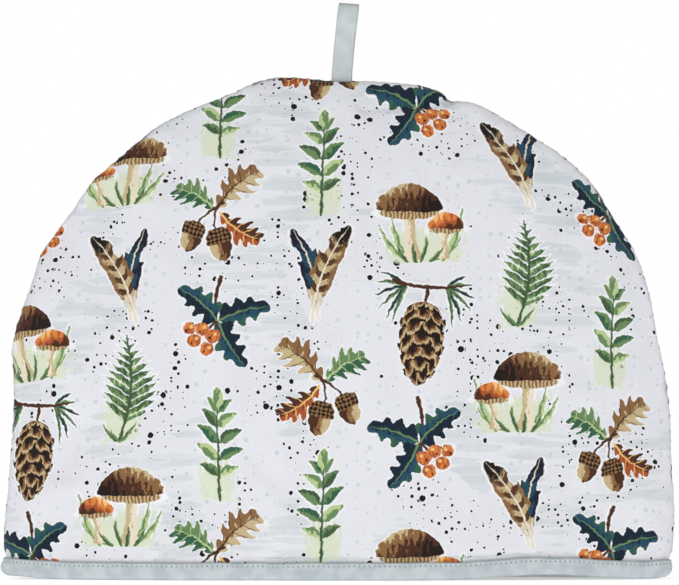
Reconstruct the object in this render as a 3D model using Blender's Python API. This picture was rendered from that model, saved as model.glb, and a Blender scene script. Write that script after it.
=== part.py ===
"""A padded tea cosy: two dome-shaped panels sewn along the arch, a bound hem and a tape loop.

The cosy stands on its hem. X runs along its width, -Y is the front, +Z is up, and the origin is on
the floor under its middle. The arch seam lies in the plane y = 0, apart from a slight wander.
"""
import math

import bmesh
import bpy
import numpy as np

MM = 0.001

# The body, in metres
HALF_DEPTH = 50.0 * MM      # seam plane to the front of the hem
FULLNESS = 0.10             # how much rounder the middle is than a plain ellipse
WALL = 7.0 * MM             # a padded panel
HEM_WALL = 4.6 * MM         # the same panel pressed flat by the binding
HEM_BAND = 12.0 * MM        # height below which the walls are upright
HEM_EASE = 22.0 * MM        # height over which the padding swells out above the binding
HEM_INSET = 1.3 * MM        # how far the binding's cloth presses the panel in
GAP = 0.3 * MM              # between pieces that are sewn together

# The seam
GROOVE = 0.6 * MM           # how deep the stitches draw the seam in
GROOVE_REACH = 2.5 * MM     # how far from the seam the groove is felt
PUFF = 1.4 * MM             # how far the padding swells out on each side of the seam
PUFF_PLACE = 5.0 * MM       # how far from the seam it swells most
PUFF_REACH = 4.5 * MM
DRIFT_REACH = 16.0 * MM     # how far from the seam its wander is felt

# The binding and the loop
BINDING_CLOTH = 1.0 * MM
BINDING_HEIGHT = 9.0 * MM
TAPE_WIDTH = 10.5 * MM
TAPE_CLOTH = 1.2 * MM
LOOP_TOP = 295.2 * MM
LOOP_FOOT = 4.0 * MM        # the length where the two legs lie together
LOOP_GAPE = 9.0 * MM        # the widest place between the legs
LOOP_CROWN = 9.5 * MM       # from that place to the top
LOOP_BOTTOM_X = 0.7 * MM
LOOP_LEAN = 3.5 * MM        # how far right the top stands of the bottom

# How finely the solids are divided
COLUMNS = 44
ROWS = 18
HEM_ROWS = 3
LEG_STEPS = 10
TOP_STEPS = 12

# The arch seam, left hem corner over the top to the right one
SEAM_ARCH = (
    # across mm, up mm
    (-169.2, 12.0),
    (-167.3, 50.0),
    (-165.4, 100.0),
    (-166.2, 117.0),
    (-164.0, 130.0),
    (-155.5, 154.0),
    (-147.5, 172.5),
    (-138.5, 184.5),
    (-124.4, 202.7),
    (-110.0, 216.2),
    (-94.5, 229.3),
    (-73.0, 240.6),
    (-56.0, 247.6),
    (-37.0, 254.4),
    (-3.0, 255.2),
    (32.5, 253.6),
    (49.0, 249.8),
    (57.0, 245.8),
    (66.0, 244.8),
    (81.5, 237.6),
    (98.0, 227.6),
    (114.5, 216.5),
    (131.0, 199.6),
    (138.7, 186.5),
    (150.2, 168.5),
    (157.8, 150.0),
    (162.5, 125.5),
    (167.5, 101.0),
    (170.5, 60.0),
    (171.5, 25.0),
    (170.4, 12.0),
)

# Where the seam wanders out of its plane, by its angle round the middle of the hem
SEAM_DRIFT = (
    # angle deg, spread deg, forward mm
    (52.0, 9.0, 4.5),
    (117.0, 8.0, 3.0),
    (150.0, 14.0, -2.0),
)

# Creases of each panel in its own front view; a raised roll has a negative depth
FRONT_CREASES = (
    # from x, from z, to x, to z, half width, depth, all mm
    (12.0, 240.5, 57.0, 243.5, 4.5, 3.2),        # trough under the roll right of the loop
    (10.0, 249.0, 46.0, 247.0, 5.0, -1.6),       # the roll itself
    (-38.0, 254.0, -49.0, 236.0, 5.0, 2.2),      # left of the loop
    (-10.0, 254.0, -14.0, 240.0, 4.0, 1.0),      # pucker at the loop's left side
    (-98.0, 224.0, -84.0, 206.0, 6.5, 2.0),      # at the dent in the left shoulder
    (-120.0, 202.0, -104.0, 196.0, 9.0, -1.4),   # padding pushed up beside that dent
    (132.0, 196.0, 112.0, 186.0, 7.0, 1.8),      # at the corner in the right shoulder
    (-166.0, 108.0, -142.0, 101.0, 6.0, 1.8),    # under the swell in the left side
    (-158.0, 121.0, -146.0, 122.0, 8.0, -1.2),   # that swell
    (168.0, 96.0, 146.0, 84.0, 8.0, 1.4),        # right side
    (-150.0, 30.0, -120.0, 44.0, 9.0, 1.2),      # drag line from the left hem corner
    (156.0, 22.0, 128.0, 38.0, 9.0, 1.4),        # drag line from the right hem corner
)
BACK_CREASES = (
    # from x, from z, to x, to z, half width, depth, all mm
    (34.0, 252.0, 44.0, 232.0, 5.0, 2.2),
    (-60.0, 243.0, -30.0, 240.0, 5.0, 2.4),
    (94.0, 224.0, 80.0, 204.0, 7.0, 1.8),
    (-134.0, 188.0, -112.0, 178.0, 8.0, 1.8),
    (160.0, 118.0, 138.0, 110.0, 8.0, 1.6),
    (-152.0, 28.0, -118.0, 40.0, 9.0, 1.4),
    (148.0, 24.0, 120.0, 44.0, 9.0, 1.2),
)

# Long soft waves of the padding, which both faces of a wall follow
SWAY = (
    # waves across, waves up, phase deg, height mm
    (2.0, 1.0, 20.0, 1.1),
    (3.4, 2.2, 130.0, 0.7),
    (5.2, 0.0, 250.0, 0.5),
)
SWAY_SPAN = 340.0 * MM
SWAY_SHIFT = 55.0           # degrees that the waves of each panel are shifted

# Where the hem doesn't quite touch the floor
HEM_LIFTS = (
    # side, x mm, spread mm, lift mm
    (-1, 112.0, 34.0, 1.6),
    (1, -96.0, 40.0, 1.0),
)
LIFT_FADE = 60.0 * MM       # height at which the lift is gone

PRINTED_COTTON = (0.80, 0.82, 0.87, 1.0)
BINDING_COTTON = (0.58, 0.65, 0.67, 1.0)


def smooth_curve(at, knots, values):
    """A smooth curve through knots that stand at rising places."""
    slopes = np.gradient(values, knots)
    left = np.clip(np.searchsorted(knots, at) - 1, 0, len(knots) - 2)
    span = knots[left + 1] - knots[left]
    t = np.clip((at - knots[left]) / span, 0.0, 1.0)
    rise = values[left + 1] - values[left]
    start, end = slopes[left] * span, slopes[left + 1] * span
    return values[left] + t * (start + t * ((3 * rise - 2 * start - end) + t * (start + end - 2 * rise)))


def smooth_step(value, low, high):
    """0 below low, 1 above high, smooth between."""
    t = np.clip((value - low) / (high - low), 0.0, 1.0)
    return t * t * (3.0 - 2.0 * t)


ARCH_X, ARCH_Z = (np.array(SEAM_ARCH) * MM).T
ARCH_ANGLES = np.arctan2(ARCH_Z - HEM_BAND, ARCH_X)[::-1]
ARCH_REACHES = np.hypot(ARCH_X, ARCH_Z - HEM_BAND)[::-1]


def arch_reach(angle):
    """Distance from the middle of the hem to the seam, at an angle up from +X."""
    return smooth_curve(angle, ARCH_ANGLES, ARCH_REACHES)


def part_of_reach(x, z):
    """0 at the middle of the hem, 1 on the seam."""
    rise = np.maximum(z - HEM_BAND, 0.0)
    return np.hypot(x, rise) / arch_reach(np.arctan2(rise, x))


def bulge(reach):
    """Distance of a panel's smooth outer face from the seam plane."""
    left_over = np.clip(1.0 - reach ** 2, 0.0, 1.0)
    return HALF_DEPTH * np.sqrt(left_over) * (1.0 + FULLNESS * left_over) / (1.0 + FULLNESS)


def outward(x, z, reach, side):
    """Unit normals of a panel's smooth outer face, as a (..., 3) array."""
    step = 0.05 * MM
    left_over = np.clip(1.0 - reach ** 2, 0.0, 1.0)
    steepness = HALF_DEPTH / (1.0 + FULLNESS) * reach * (1.0 + 3.0 * FULLNESS * left_over)
    across = (part_of_reach(x + step, z) - part_of_reach(x - step, z)) / (2 * step)
    up = (part_of_reach(x, z + step) - part_of_reach(x, z - step)) / (2 * step)
    normal = np.stack([steepness * across, side * np.sqrt(left_over), steepness * up], axis=-1)
    return normal / np.linalg.norm(normal, axis=-1, keepdims=True)


def sway(x, z, reach, side):
    """Long waves of a wall along its normal, gone at the seam and other on each panel."""
    total = np.zeros_like(x)
    level = np.maximum(z, HEM_BAND)
    for across, up, phase, height in SWAY:
        turn = (across * x + up * level) / SWAY_SPAN * 2 * math.pi + np.radians(phase + SWAY_SHIFT * side)
        total += height * MM * np.sin(turn)
    return total * np.clip(1.0 - reach ** 2, 0.0, 1.0)


def crease_depth(x, z, creases):
    """How deep the creases press a face in, each a soft trough that fades at its inner end."""
    total = np.zeros_like(x)
    for from_x, from_z, to_x, to_z, half_width, depth in np.array(creases) * MM:
        length = math.hypot(to_x - from_x, to_z - from_z)
        along_x, along_z = (to_x - from_x) / length, (to_z - from_z) / length
        along = (x - from_x) * along_x + (z - from_z) * along_z
        aside = (z - from_z) * along_x - (x - from_x) * along_z
        beyond = np.maximum(np.maximum(-along, along - length), 0.0)
        total += depth * np.exp(-(aside / half_width) ** 2 - (beyond / (1.2 * half_width)) ** 2)
    return total


def seam_groove(reach):
    """How deep a face lies near the seam: drawn in at the stitches, swollen on each side of them."""
    away = bulge(reach)
    drawn_in = GROOVE * np.exp(-(away / GROOVE_REACH) ** 2)
    return drawn_in - PUFF * np.exp(-((away - PUFF_PLACE) / PUFF_REACH) ** 2)


def hem_lift(x, z, side):
    """How far the hem stands off the floor, fading upwards."""
    total = np.zeros_like(x)
    for lift_side, centre, spread, height in HEM_LIFTS:
        if lift_side == side:
            total += height * MM * np.exp(-((x - centre * MM) / (spread * MM)) ** 2)
    return total * (1.0 - smooth_step(z, 0.0, LIFT_FADE))


def drift(x, y, z):
    """Forward shift of the cloth near the seam, where the seam wanders out of its plane."""
    angle = np.degrees(np.arctan2(np.maximum(z - HEM_BAND, 0.0), x))
    forward = np.zeros_like(x)
    for centre, spread, reach in SEAM_DRIFT:
        forward += reach * MM * np.exp(-((angle - centre) / spread) ** 2)
    return -forward * np.exp(-(y / DRIFT_REACH) ** 2)


def panel_places():
    """Places in the front view: hem rows first, then rows that round off into the arch."""
    column = np.sin(np.linspace(-1.0, 1.0, COLUMNS + 1) * math.pi / 2)
    row = np.sin(np.linspace(0.0, 1.0, ROWS + 1) * math.pi / 2)
    across, up = np.meshgrid(column, row)
    disc_x = across * np.sqrt(1.0 - up ** 2 / 2)
    disc_z = up * np.sqrt(1.0 - across ** 2 / 2)
    scale = arch_reach(np.arctan2(disc_z, disc_x))
    dome_x, dome_z = disc_x * scale, disc_z * scale + HEM_BAND
    hem_bottom = BINDING_CLOTH + GAP
    hem_z = np.linspace(hem_bottom, HEM_BAND, HEM_ROWS + 1)[:-1]
    hem_x = np.repeat(dome_x[:1], HEM_ROWS, axis=0)
    return np.vstack([hem_x, dome_x]), np.vstack([np.repeat(hem_z[:, None], COLUMNS + 1, axis=1), dome_z])


def panel_faces_points(side, creases):
    """Outer and inner points of one panel, as two (rows, columns, 3) arrays."""
    x, z = panel_places()
    reach = part_of_reach(x, z)
    y = side * (GAP / 2 + bulge(reach))
    normal = outward(x, z, reach, side)
    swell = smooth_step(z, BINDING_HEIGHT, HEM_BAND + HEM_EASE)
    inset = HEM_INSET * (1.0 - smooth_step(z, BINDING_HEIGHT + GAP, BINDING_HEIGHT + HEM_EASE / 2))
    wall = HEM_WALL + (WALL - HEM_WALL) * swell
    relief = crease_depth(x, z, creases) * smooth_step(z, HEM_BAND, HEM_BAND + HEM_EASE)
    relief += seam_groove(reach) * swell
    base = np.stack([x, y, z], axis=-1) + normal * (sway(x, z, reach, side) - inset)[..., None]
    outer = base - normal * relief[..., None]
    inner = base - normal * wall[..., None]
    for face in (outer, inner):
        face[..., 1] += drift(face[..., 0], face[..., 1], face[..., 2])
        face[..., 2] += hem_lift(x, z, side)
    return outer, inner


def grid_faces(bm, grid, flip):
    """Quads over a grid of vertices."""
    for lower, upper in zip(grid[:-1], grid[1:]):
        for i in range(len(lower) - 1):
            corners = [lower[i], lower[i + 1], upper[i + 1], upper[i]]
            bm.faces.new(corners[::-1] if flip else corners)


def rim(grid):
    """The outer ring of a grid's vertices, in order."""
    left = [row[0] for row in grid[1:-1]]
    right = [row[-1] for row in grid[1:-1]]
    return list(grid[0]) + right + list(grid[-1])[::-1] + left[::-1]


def wall_mesh(outer, inner, side):
    """A closed wall between an outer and an inner grid of points."""
    bm = bmesh.new()
    outside = [[bm.verts.new(point) for point in row] for row in outer]
    inside = [[bm.verts.new(point) for point in row] for row in inner]
    grid_faces(bm, outside, side > 0)
    grid_faces(bm, inside, side < 0)
    outer_rim, inner_rim = rim(outside), rim(inside)
    for i, vertex in enumerate(outer_rim):
        following = (i + 1) % len(outer_rim)
        bm.faces.new([vertex, inner_rim[i], inner_rim[following], outer_rim[following]])
    bmesh.ops.recalc_face_normals(bm, faces=bm.faces)
    bmesh.ops.triangulate(bm, faces=bm.faces, quad_method="SHORT_EDGE")
    return bm


def hem_line(angle):
    """The panels' smooth outer line at the hem, with its normals, all round from the left end."""
    across = -np.cos(angle)
    side = np.where(np.sin(angle) >= 0.0, -1.0, 1.0)
    x = across * np.where(across > 0.0, ARCH_REACHES[0], ARCH_REACHES[-1])
    z = np.full_like(x, HEM_BAND)
    reach = np.abs(across)
    depth = bulge(reach)
    normal = np.stack([np.zeros_like(x)] * 3, axis=-1)
    for one in (-1.0, 1.0):
        chosen = side == one
        normal[chosen] = outward(x[chosen], z[chosen], reach[chosen], one)
    normal[:, 2] = 0.0
    normal /= np.linalg.norm(normal, axis=1, keepdims=True)
    flush = np.abs(np.sin(angle)) < 1e-9
    y = np.where(flush, 0.0, side * (GAP / 2 + depth))
    points = np.stack([x, y, np.zeros_like(x)], axis=-1)
    return points + normal * sway(x, z, reach, side)[:, None], normal, side


def binding_section():
    """Section of the folded binding: distance out from the hem line, and height."""
    outer_leg = -HEM_INSET + GAP + BINDING_CLOTH
    inner_leg = -HEM_INSET - HEM_WALL - GAP - BINDING_CLOTH
    soft = 0.45 * BINDING_CLOTH
    puff = 0.5 * MM
    middle = BINDING_HEIGHT / 2
    return (
        (outer_leg - BINDING_CLOTH, BINDING_HEIGHT - soft),
        (outer_leg - soft, BINDING_HEIGHT),
        (outer_leg, BINDING_HEIGHT - soft),
        (outer_leg + puff, middle),
        (outer_leg, 2 * soft),
        (outer_leg - 2 * soft, 0.0),
        (inner_leg + 2 * soft, 0.0),
        (inner_leg, 2 * soft),
        (inner_leg - puff, middle),
        (inner_leg, BINDING_HEIGHT - soft),
        (inner_leg + soft, BINDING_HEIGHT),
        (inner_leg + BINDING_CLOTH, BINDING_HEIGHT - soft),
        (inner_leg + BINDING_CLOTH, BINDING_CLOTH),
        (outer_leg - BINDING_CLOTH, BINDING_CLOTH),
    )


def binding_mesh():
    """The binding as a closed ring of its U-shaped section."""
    angle = np.arange(2 * COLUMNS) * math.pi / COLUMNS
    line, normal, side = hem_line(angle)
    bm = bmesh.new()
    stations = []
    for i in range(len(angle)):
        x = line[i:i + 1, 0]
        lift = hem_lift(x, np.zeros(1), side[i])[0]
        ring = []
        for out, height in binding_section():
            point = line[i] + normal[i] * out
            ring.append(bm.verts.new((point[0], point[1], height + lift)))
        stations.append(ring)
    for i, ring in enumerate(stations):
        following = stations[(i + 1) % len(stations)]
        for j in range(len(ring)):
            k = (j + 1) % len(ring)
            bm.faces.new([ring[j], ring[k], following[k], following[j]])
    bmesh.ops.recalc_face_normals(bm, faces=bm.faces)
    return bm


def loop_line():
    """Middle line of the tape in the Y-Z plane: up one leg, round the top and down the other."""
    bottom = ARCH_Z.max() + 1.5 * GAP
    top = LOOP_TOP - TAPE_CLOTH / 2
    shoulder = top - LOOP_CROWN
    together = (TAPE_CLOTH + GAP) / 2
    widest = (TAPE_CLOTH + LOOP_GAPE) / 2
    rise = np.linspace(bottom, shoulder, LEG_STEPS + 1)
    spread = together + (widest - together) * smooth_step(rise, bottom + LOOP_FOOT, shoulder)
    turn = np.linspace(0.0, math.pi, TOP_STEPS + 1)[1:-1]
    y = np.concatenate([-spread, -widest * np.cos(turn), spread[::-1]])
    z = np.concatenate([rise, shoulder + (top - shoulder) * np.sin(turn), rise[::-1]])
    return y, z


def loop_mesh():
    """The folded tape as one closed strip."""
    y, z = loop_line()
    along = np.stack([np.gradient(y), np.gradient(z)], axis=-1)
    along /= np.linalg.norm(along, axis=1, keepdims=True)
    outwards = np.stack([-along[:, 1], along[:, 0]], axis=-1)
    bottom = z.min()
    bm = bmesh.new()
    rings = []
    for i in range(len(y)):
        rise = (z[i] - bottom) / (LOOP_TOP - bottom)
        middle = LOOP_BOTTOM_X + LOOP_LEAN * rise ** 1.3
        ring = []
        for across, layer in ((-0.5, 0.5), (0.0, 0.5), (0.5, 0.5), (0.5, -0.5), (0.0, -0.5), (-0.5, -0.5)):
            offset = outwards[i] * layer * TAPE_CLOTH
            ring.append(bm.verts.new((middle + across * TAPE_WIDTH, y[i] + offset[0], z[i] + offset[1])))
        rings.append(ring)
    for ring, following in zip(rings[:-1], rings[1:]):
        for j in range(len(ring)):
            k = (j + 1) % len(ring)
            bm.faces.new([ring[j], ring[k], following[k], following[j]])
    bm.faces.new(rings[0])
    bm.faces.new(rings[-1])
    bmesh.ops.recalc_face_normals(bm, faces=bm.faces)
    return bm


def cloth_material(name, colour, roughness):
    """A plain woven cloth."""
    material = bpy.data.materials.new(name)
    material.use_nodes = True
    shader = material.node_tree.nodes["Principled BSDF"]
    shader.inputs["Base Color"].default_value = colour
    shader.inputs["Roughness"].default_value = roughness
    shader.inputs["Metallic"].default_value = 0.0
    return material


def add_piece(name, bm, material):
    """A named object from a finished mesh."""
    mesh = bpy.data.meshes.new(name)
    bm.to_mesh(mesh)
    bm.free()
    mesh.materials.append(material)
    mesh.shade_smooth()
    mesh.set_sharp_from_angle(angle=math.radians(50.0))
    piece = bpy.data.objects.new(name, mesh)
    bpy.context.scene.collection.objects.link(piece)
    return piece


def main():
    for existing in list(bpy.data.objects):
        bpy.data.objects.remove(existing, do_unlink=True)
    printed = cloth_material("printed_cotton", PRINTED_COTTON, 0.85)
    plain = cloth_material("binding_cotton", BINDING_COTTON, 0.80)
    for name, side, creases in (("panel_front", -1, FRONT_CREASES), ("panel_back", 1, BACK_CREASES)):
        outer, inner = panel_faces_points(side, creases)
        add_piece(name, wall_mesh(outer, inner, side), printed)
    add_piece("hem_binding", binding_mesh(), plain)
    add_piece("hanging_loop", loop_mesh(), plain)


main()
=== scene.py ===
import math
from types import SimpleNamespace

import bpy
import numpy as np
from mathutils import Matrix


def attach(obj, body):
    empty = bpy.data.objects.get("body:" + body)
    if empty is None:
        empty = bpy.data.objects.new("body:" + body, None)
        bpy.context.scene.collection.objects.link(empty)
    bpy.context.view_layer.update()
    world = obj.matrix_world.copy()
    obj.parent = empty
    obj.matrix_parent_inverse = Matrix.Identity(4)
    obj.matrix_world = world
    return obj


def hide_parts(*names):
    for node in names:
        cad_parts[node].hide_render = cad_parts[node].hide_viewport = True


# A padded tea cosy in printed cotton, open on its bound hem, with a tape loop at the top.
# Lengths are millimetres until a mesh is made. X runs right, -Y is the front, Z is up.

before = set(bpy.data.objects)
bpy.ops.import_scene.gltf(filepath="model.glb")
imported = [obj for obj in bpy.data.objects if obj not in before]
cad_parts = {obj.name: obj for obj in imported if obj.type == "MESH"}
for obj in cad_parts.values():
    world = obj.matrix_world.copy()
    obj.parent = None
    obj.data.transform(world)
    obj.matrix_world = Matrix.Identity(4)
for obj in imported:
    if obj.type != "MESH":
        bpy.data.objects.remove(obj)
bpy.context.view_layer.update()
bpy.ops.object.select_all(action="DESELECT")
metre = 0.001  # a millimetre in metres

dome = {
    "halfWidth": 172.0,
    "hemHalfDepth": 50.0,   # seam plane to the front of the hem
    "fullness": 0.10,       # how much rounder than an ellipse the middle is
    "wall": 7.0,
    "hemWall": 4.6,         # the padding pressed flat inside the binding
    "hemInset": 1.3,
    "bindingTop": 9.0,
    "hemBand": 12.0,        # the walls are upright below this height
    "hemEase": 22.0,        # the padding swells out over this height
    "gap": 0.3,             # between pieces that are sewn together
    "lean": 0.4,            # degrees that the dome leans to the right as it stands
    "leanCentre": 146.8,
    "leanEase": 60.0,       # the hem stays level, and the lean is full from this height
    "groove": 0.4,          # the stitches draw the seam in by this much
    "grooveReach": 1.1,
    "puff": 0.9,            # the padding swells out beside the seam
    "puffPlace": 6.5,
    "puffReach": 5.0,
    "driftReach": 16.0,
    "swaySpan": 340.0,
    "swayShift": 55.0,
    "liftFade": 60.0,
}
seamArch = (
    # across, up
    (-170.9, 12), (-168.4, 50), (-166.3, 100), (-167, 117), (-164.3, 130), (-156.2, 154), (-152.6, 165.5),
    (-147, 173.6), (-138.9, 185), (-125, 203.3), (-110.4, 217), (-94.9, 230.2), (-73.4, 241.2),
    (-56, 248.2), (-41, 255), (-3, 255.2), (32.5, 253.8), (48, 251), (53.2, 248.6), (56.2, 245.8),
    (60, 245.4), (67, 244.6), (81.5, 237.8), (98, 227.9), (114.5, 217), (131.7, 200.2), (139.5, 187),
    (151.1, 168.9), (158.1, 150.1), (163.1, 125.6), (168.3, 101), (171, 60), (172.6, 25), (171.6, 12),
)
seamDrift = (
    # angle deg, spread deg, forward
    (52, 9, 4.5), (117, 8, 3), (150, 14, -2),
)
swayWaves = (
    # waves across, waves up, phase deg, height
    (2, 1, 20, 1.1), (3.4, 2.2, 130, 0.7), (5.2, 0, 250, 0.5),
)
hemLifts = (
    # side, centre, spread, lift
    (-1, 106, 34, 2.6), (1, -96, 40, 1), (-1, -174, 20, 1.7), (1, -174, 20, 1.7), (-1, 176, 12, 0.9),
    (1, 176, 12, 0.9),
)
frontCreases = (
    # from x, from z, to x, to z, half width, depth; a raised roll has a negative depth
    (13, 242.6, 55, 244.6, 2.6, 2.6), (16, 241, 52, 242, 6, 1), (14, 249.5, 38, 248, 4.4, -1.3),
    (-38, 254, -49, 236, 5, 2.2), (-10, 254, -14, 240, 4, 1), (-98, 224, -84, 206, 6.5, 2),
    (-120, 202, -104, 196, 9, -1.4), (132, 196, 112, 186, 7, 1.8), (-166, 108, -142, 101, 6, 1.8),
    (-158, 121, -146, 122, 8, -1.2), (168, 96, 146, 84, 8, 1.4), (-150, 30, -120, 44, 9, 1.2),
    (156, 22, 128, 38, 9, 1.4), (58, 244, 72, 228, 3, 0.8), (-24, 254, -22, 243, 2.4, 0.6),
    (8, 252, 14, 238, 2.6, 0.6), (88, 230, 74, 214, 4, 0.7), (-134, 188, -122, 178, 4, 0.7),
    (-60, 244, -56, 228, 3.5, 0.6),
)
backCreases = (
    # the same columns
    (34, 252, 44, 232, 5, 2.2), (-60, 243, -30, 240, 5, 2.4), (94, 224, 80, 204, 7, 1.8),
    (-134, 188, -112, 178, 8, 1.8), (160, 118, 138, 110, 8, 1.6), (-152, 28, -118, 40, 9, 1.4),
    (148, 24, 120, 44, 9, 1.2), (-14, 253, -10, 239, 3, 0.7), (60, 243, 66, 226, 4, 0.8),
    (-92, 228, -82, 214, 4, 0.7),
)


def smoothCurve(at, knots, values):
    # through every knot, with each slope taken from the neighbours
    slopes = np.gradient(values, knots)
    left = np.clip(np.searchsorted(knots, at) - 1, 0, len(knots) - 2)
    span = knots[left + 1] - knots[left]
    t = np.clip((at - knots[left]) / span, 0.0, 1.0)
    rise = values[left + 1] - values[left]
    start, end = slopes[left] * span, slopes[left + 1] * span
    return values[left] + t * (start + t * ((3 * rise - 2 * start - end) + t * (start + end - 2 * rise)))


def smoothStep(value, low, high):
    t = np.clip((value - low) / (high - low), 0.0, 1.0)
    return t * t * (3.0 - 2.0 * t)


def fade(distance, reach):
    # 1 at no distance and nearly 0 at twice the reach
    return np.exp(-(distance / reach) ** 2)


def softNoise(u, v, size, seed):
    # gentle unevenness around 0, from seven crossed waves of about this size
    dice = np.random.default_rng(seed)
    total = 0.0
    for _ in range(7):
        turn, phase = dice.uniform(0.0, 2 * math.pi, 2)
        length = size * dice.uniform(0.7, 1.7)
        total = total + np.sin((u * math.cos(turn) + v * math.sin(turn)) * 2 * math.pi / length + phase)
    return total / 2.6


archX, archZ = np.array(seamArch).T
leanTurn = math.radians(dome["lean"])
archX, archZ = (archX + leanTurn * (archZ - dome["leanCentre"]),
                archZ - leanTurn * archX * smoothStep(archZ, dome["hemBand"], dome["leanEase"]))
archAngles = np.arctan2(archZ - dome["hemBand"], archX)[::-1]
archReaches = np.hypot(archX, archZ - dome["hemBand"])[::-1]


def archReach(angle):
    return smoothCurve(angle, archAngles, archReaches)


def partOfReach(x, z):
    # 0 at the middle of the hem, 1 on the seam
    rise = np.maximum(z - dome["hemBand"], 0.0)
    return np.hypot(x, rise) / archReach(np.arctan2(rise, x))


def bulge(reach):
    # distance of the smooth outer face from the seam plane
    leftOver = np.clip(1.0 - reach ** 2, 0.0, 1.0)
    full = dome["fullness"]
    return dome["hemHalfDepth"] * np.sqrt(leftOver) * (1.0 + full * leftOver) / (1.0 + full)


def outward(x, z, reach, side):
    # normal of the smooth outer face
    step, full = 0.05, dome["fullness"]
    leftOver = np.clip(1.0 - reach ** 2, 0.0, 1.0)
    steepness = dome["hemHalfDepth"] / (1.0 + full) * reach * (1.0 + 3.0 * full * leftOver)
    across = (partOfReach(x + step, z) - partOfReach(x - step, z)) / (2 * step)
    up = (partOfReach(x, z + step) - partOfReach(x, z - step)) / (2 * step)
    normal = np.stack([steepness * across, side * np.sqrt(leftOver), steepness * up], axis=-1)
    return normal / np.linalg.norm(normal, axis=-1, keepdims=True)


def sway(x, z, reach, side):
    # long soft waves of the padding, which both faces of a wall follow
    total = np.zeros_like(x)
    level = np.maximum(z, dome["hemBand"])
    for across, up, phase, height in swayWaves:
        turn = (across * x + up * level) / dome["swaySpan"] * 2 * math.pi
        total += height * np.sin(turn + np.radians(phase + dome["swayShift"] * side))
    return total * np.clip(1.0 - reach ** 2, 0.0, 1.0)


def creaseDepth(x, z, creases):
    total = np.zeros_like(x)
    for fromX, fromZ, toX, toZ, halfWidth, depth in creases:
        length = math.hypot(toX - fromX, toZ - fromZ)
        alongX, alongZ = (toX - fromX) / length, (toZ - fromZ) / length
        along = (x - fromX) * alongX + (z - fromZ) * alongZ
        aside = (z - fromZ) * alongX - (x - fromX) * alongZ
        beyond = np.maximum(np.maximum(-along, along - length), 0.0)
        total += depth * fade(aside, halfWidth) * fade(beyond, 1.2 * halfWidth)
    return total


def hemLift(x, z, side):
    total = np.zeros_like(x)
    for liftSide, centre, spread, height in hemLifts:
        total += height * fade(x - centre, spread) * (liftSide == side)
    return total * (1.0 - smoothStep(z, 0.0, dome["liftFade"]))


def drift(x, y, z):
    # how far the seam has wandered out of its plane
    angle = np.degrees(np.arctan2(np.maximum(z - dome["hemBand"], 0.0), x))
    forward = sum(reach * fade(angle - centre, spread) for centre, spread, reach in seamDrift)
    return -forward * fade(y, dome["driftReach"])


# The print is a woodland design in paint and ink on a pale blue-white ground.
ink = {
    "bare": "#F2F2F4", "ground": "#E7E8ED", "groundShade": "#E3E4EA", "wash": "#CAD3D6",
    "paleSpeck": "#CCD1DA", "speck": "#0C0E16", "meadow": "#D0DCAE",
    "teal": "#224A5E", "tealDark": "#0F2233", "navy": "#19172E", "bottle": "#346046", "sage": "#6A8A5A",
    "lightGreen": "#B9CC93", "darkGreen": "#3F5B3D", "chestnut": "#4A2A1B", "bark": "#1C110D",
    "brown": "#8A6540", "tan": "#C8B48A", "cream": "#EADFC8", "orange": "#D9803F", "paleOrange": "#F2C27A",
    "rust": "#A9542B",
}
nodeMode = {"Math": "operation", "VectorMath": "operation", "Mix": "data_type", "Mapping": "vector_type",
            "TexNoise": "noise_dimensions", "TexVoronoi": "voronoi_dimensions"}


def linear(colour):
    # an ink's name or a hex colour, made linear
    text = ink.get(colour, colour)
    parts = [int(text[i:i + 2], 16) / 255 for i in (1, 3, 5)]
    return tuple(c / 12.92 if c <= 0.04045 else ((c + 0.055) / 1.055) ** 2.4 for c in parts) + (1.0,)


def addNode(tree, kind, *sources, give=0, points=(), **settings):
    # one node: its kind and mode, then its sockets in order, or by socket in a dictionary;
    # give picks the output, or None gives the node
    kind, _, mode = kind.partition(" ")
    made = tree.nodes.new("ShaderNode" + kind)
    if mode:
        settings[nodeMode[kind]] = mode
    for name, value in settings.items():
        setattr(made, name, value)
    if points:
        made.mapping.use_clip = False
        curve = made.mapping.curves[0]
        curve.points[0].location, curve.points[1].location = points[0], points[-1]
        for place in points[1:-1]:
            curve.points.new(*place)
        made.mapping.update()
    plugs = {}
    for slot, source in enumerate(sources):
        plugs.update(source if isinstance(source, dict) else {slot: source})
    for slot, source in plugs.items():
        if isinstance(source, bpy.types.NodeSocket):
            tree.links.new(source, made.inputs[slot])
        else:
            made.inputs[slot].default_value = linear(source) if isinstance(source, str) else source
    return made if give is None else made.outputs[give]


def toned(tree, colour, *tones):
    # each tone covers the last as its value runs from low to high, up to its share
    for value, low, high, tone, *share in tones:
        mask = addNode(tree, "MapRange", value, low, high, 0.0, *(share or [1.0]))
        colour = addNode(tree, "Mix RGBA", {0: mask, 6: colour, 7: tone}, give=2)
    return colour


def wave(tree, value, times, plus=0.0):
    return addNode(tree, "Math SINE", addNode(tree, "Math MULTIPLY_ADD", value, times, plus))


# Weave of the cotton: 30 threads per cm are too fine for the render, so two threads are drawn as one.
weave = {"pitch": 0.85, "slub": 9.0, "height": 0.00009}


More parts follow.
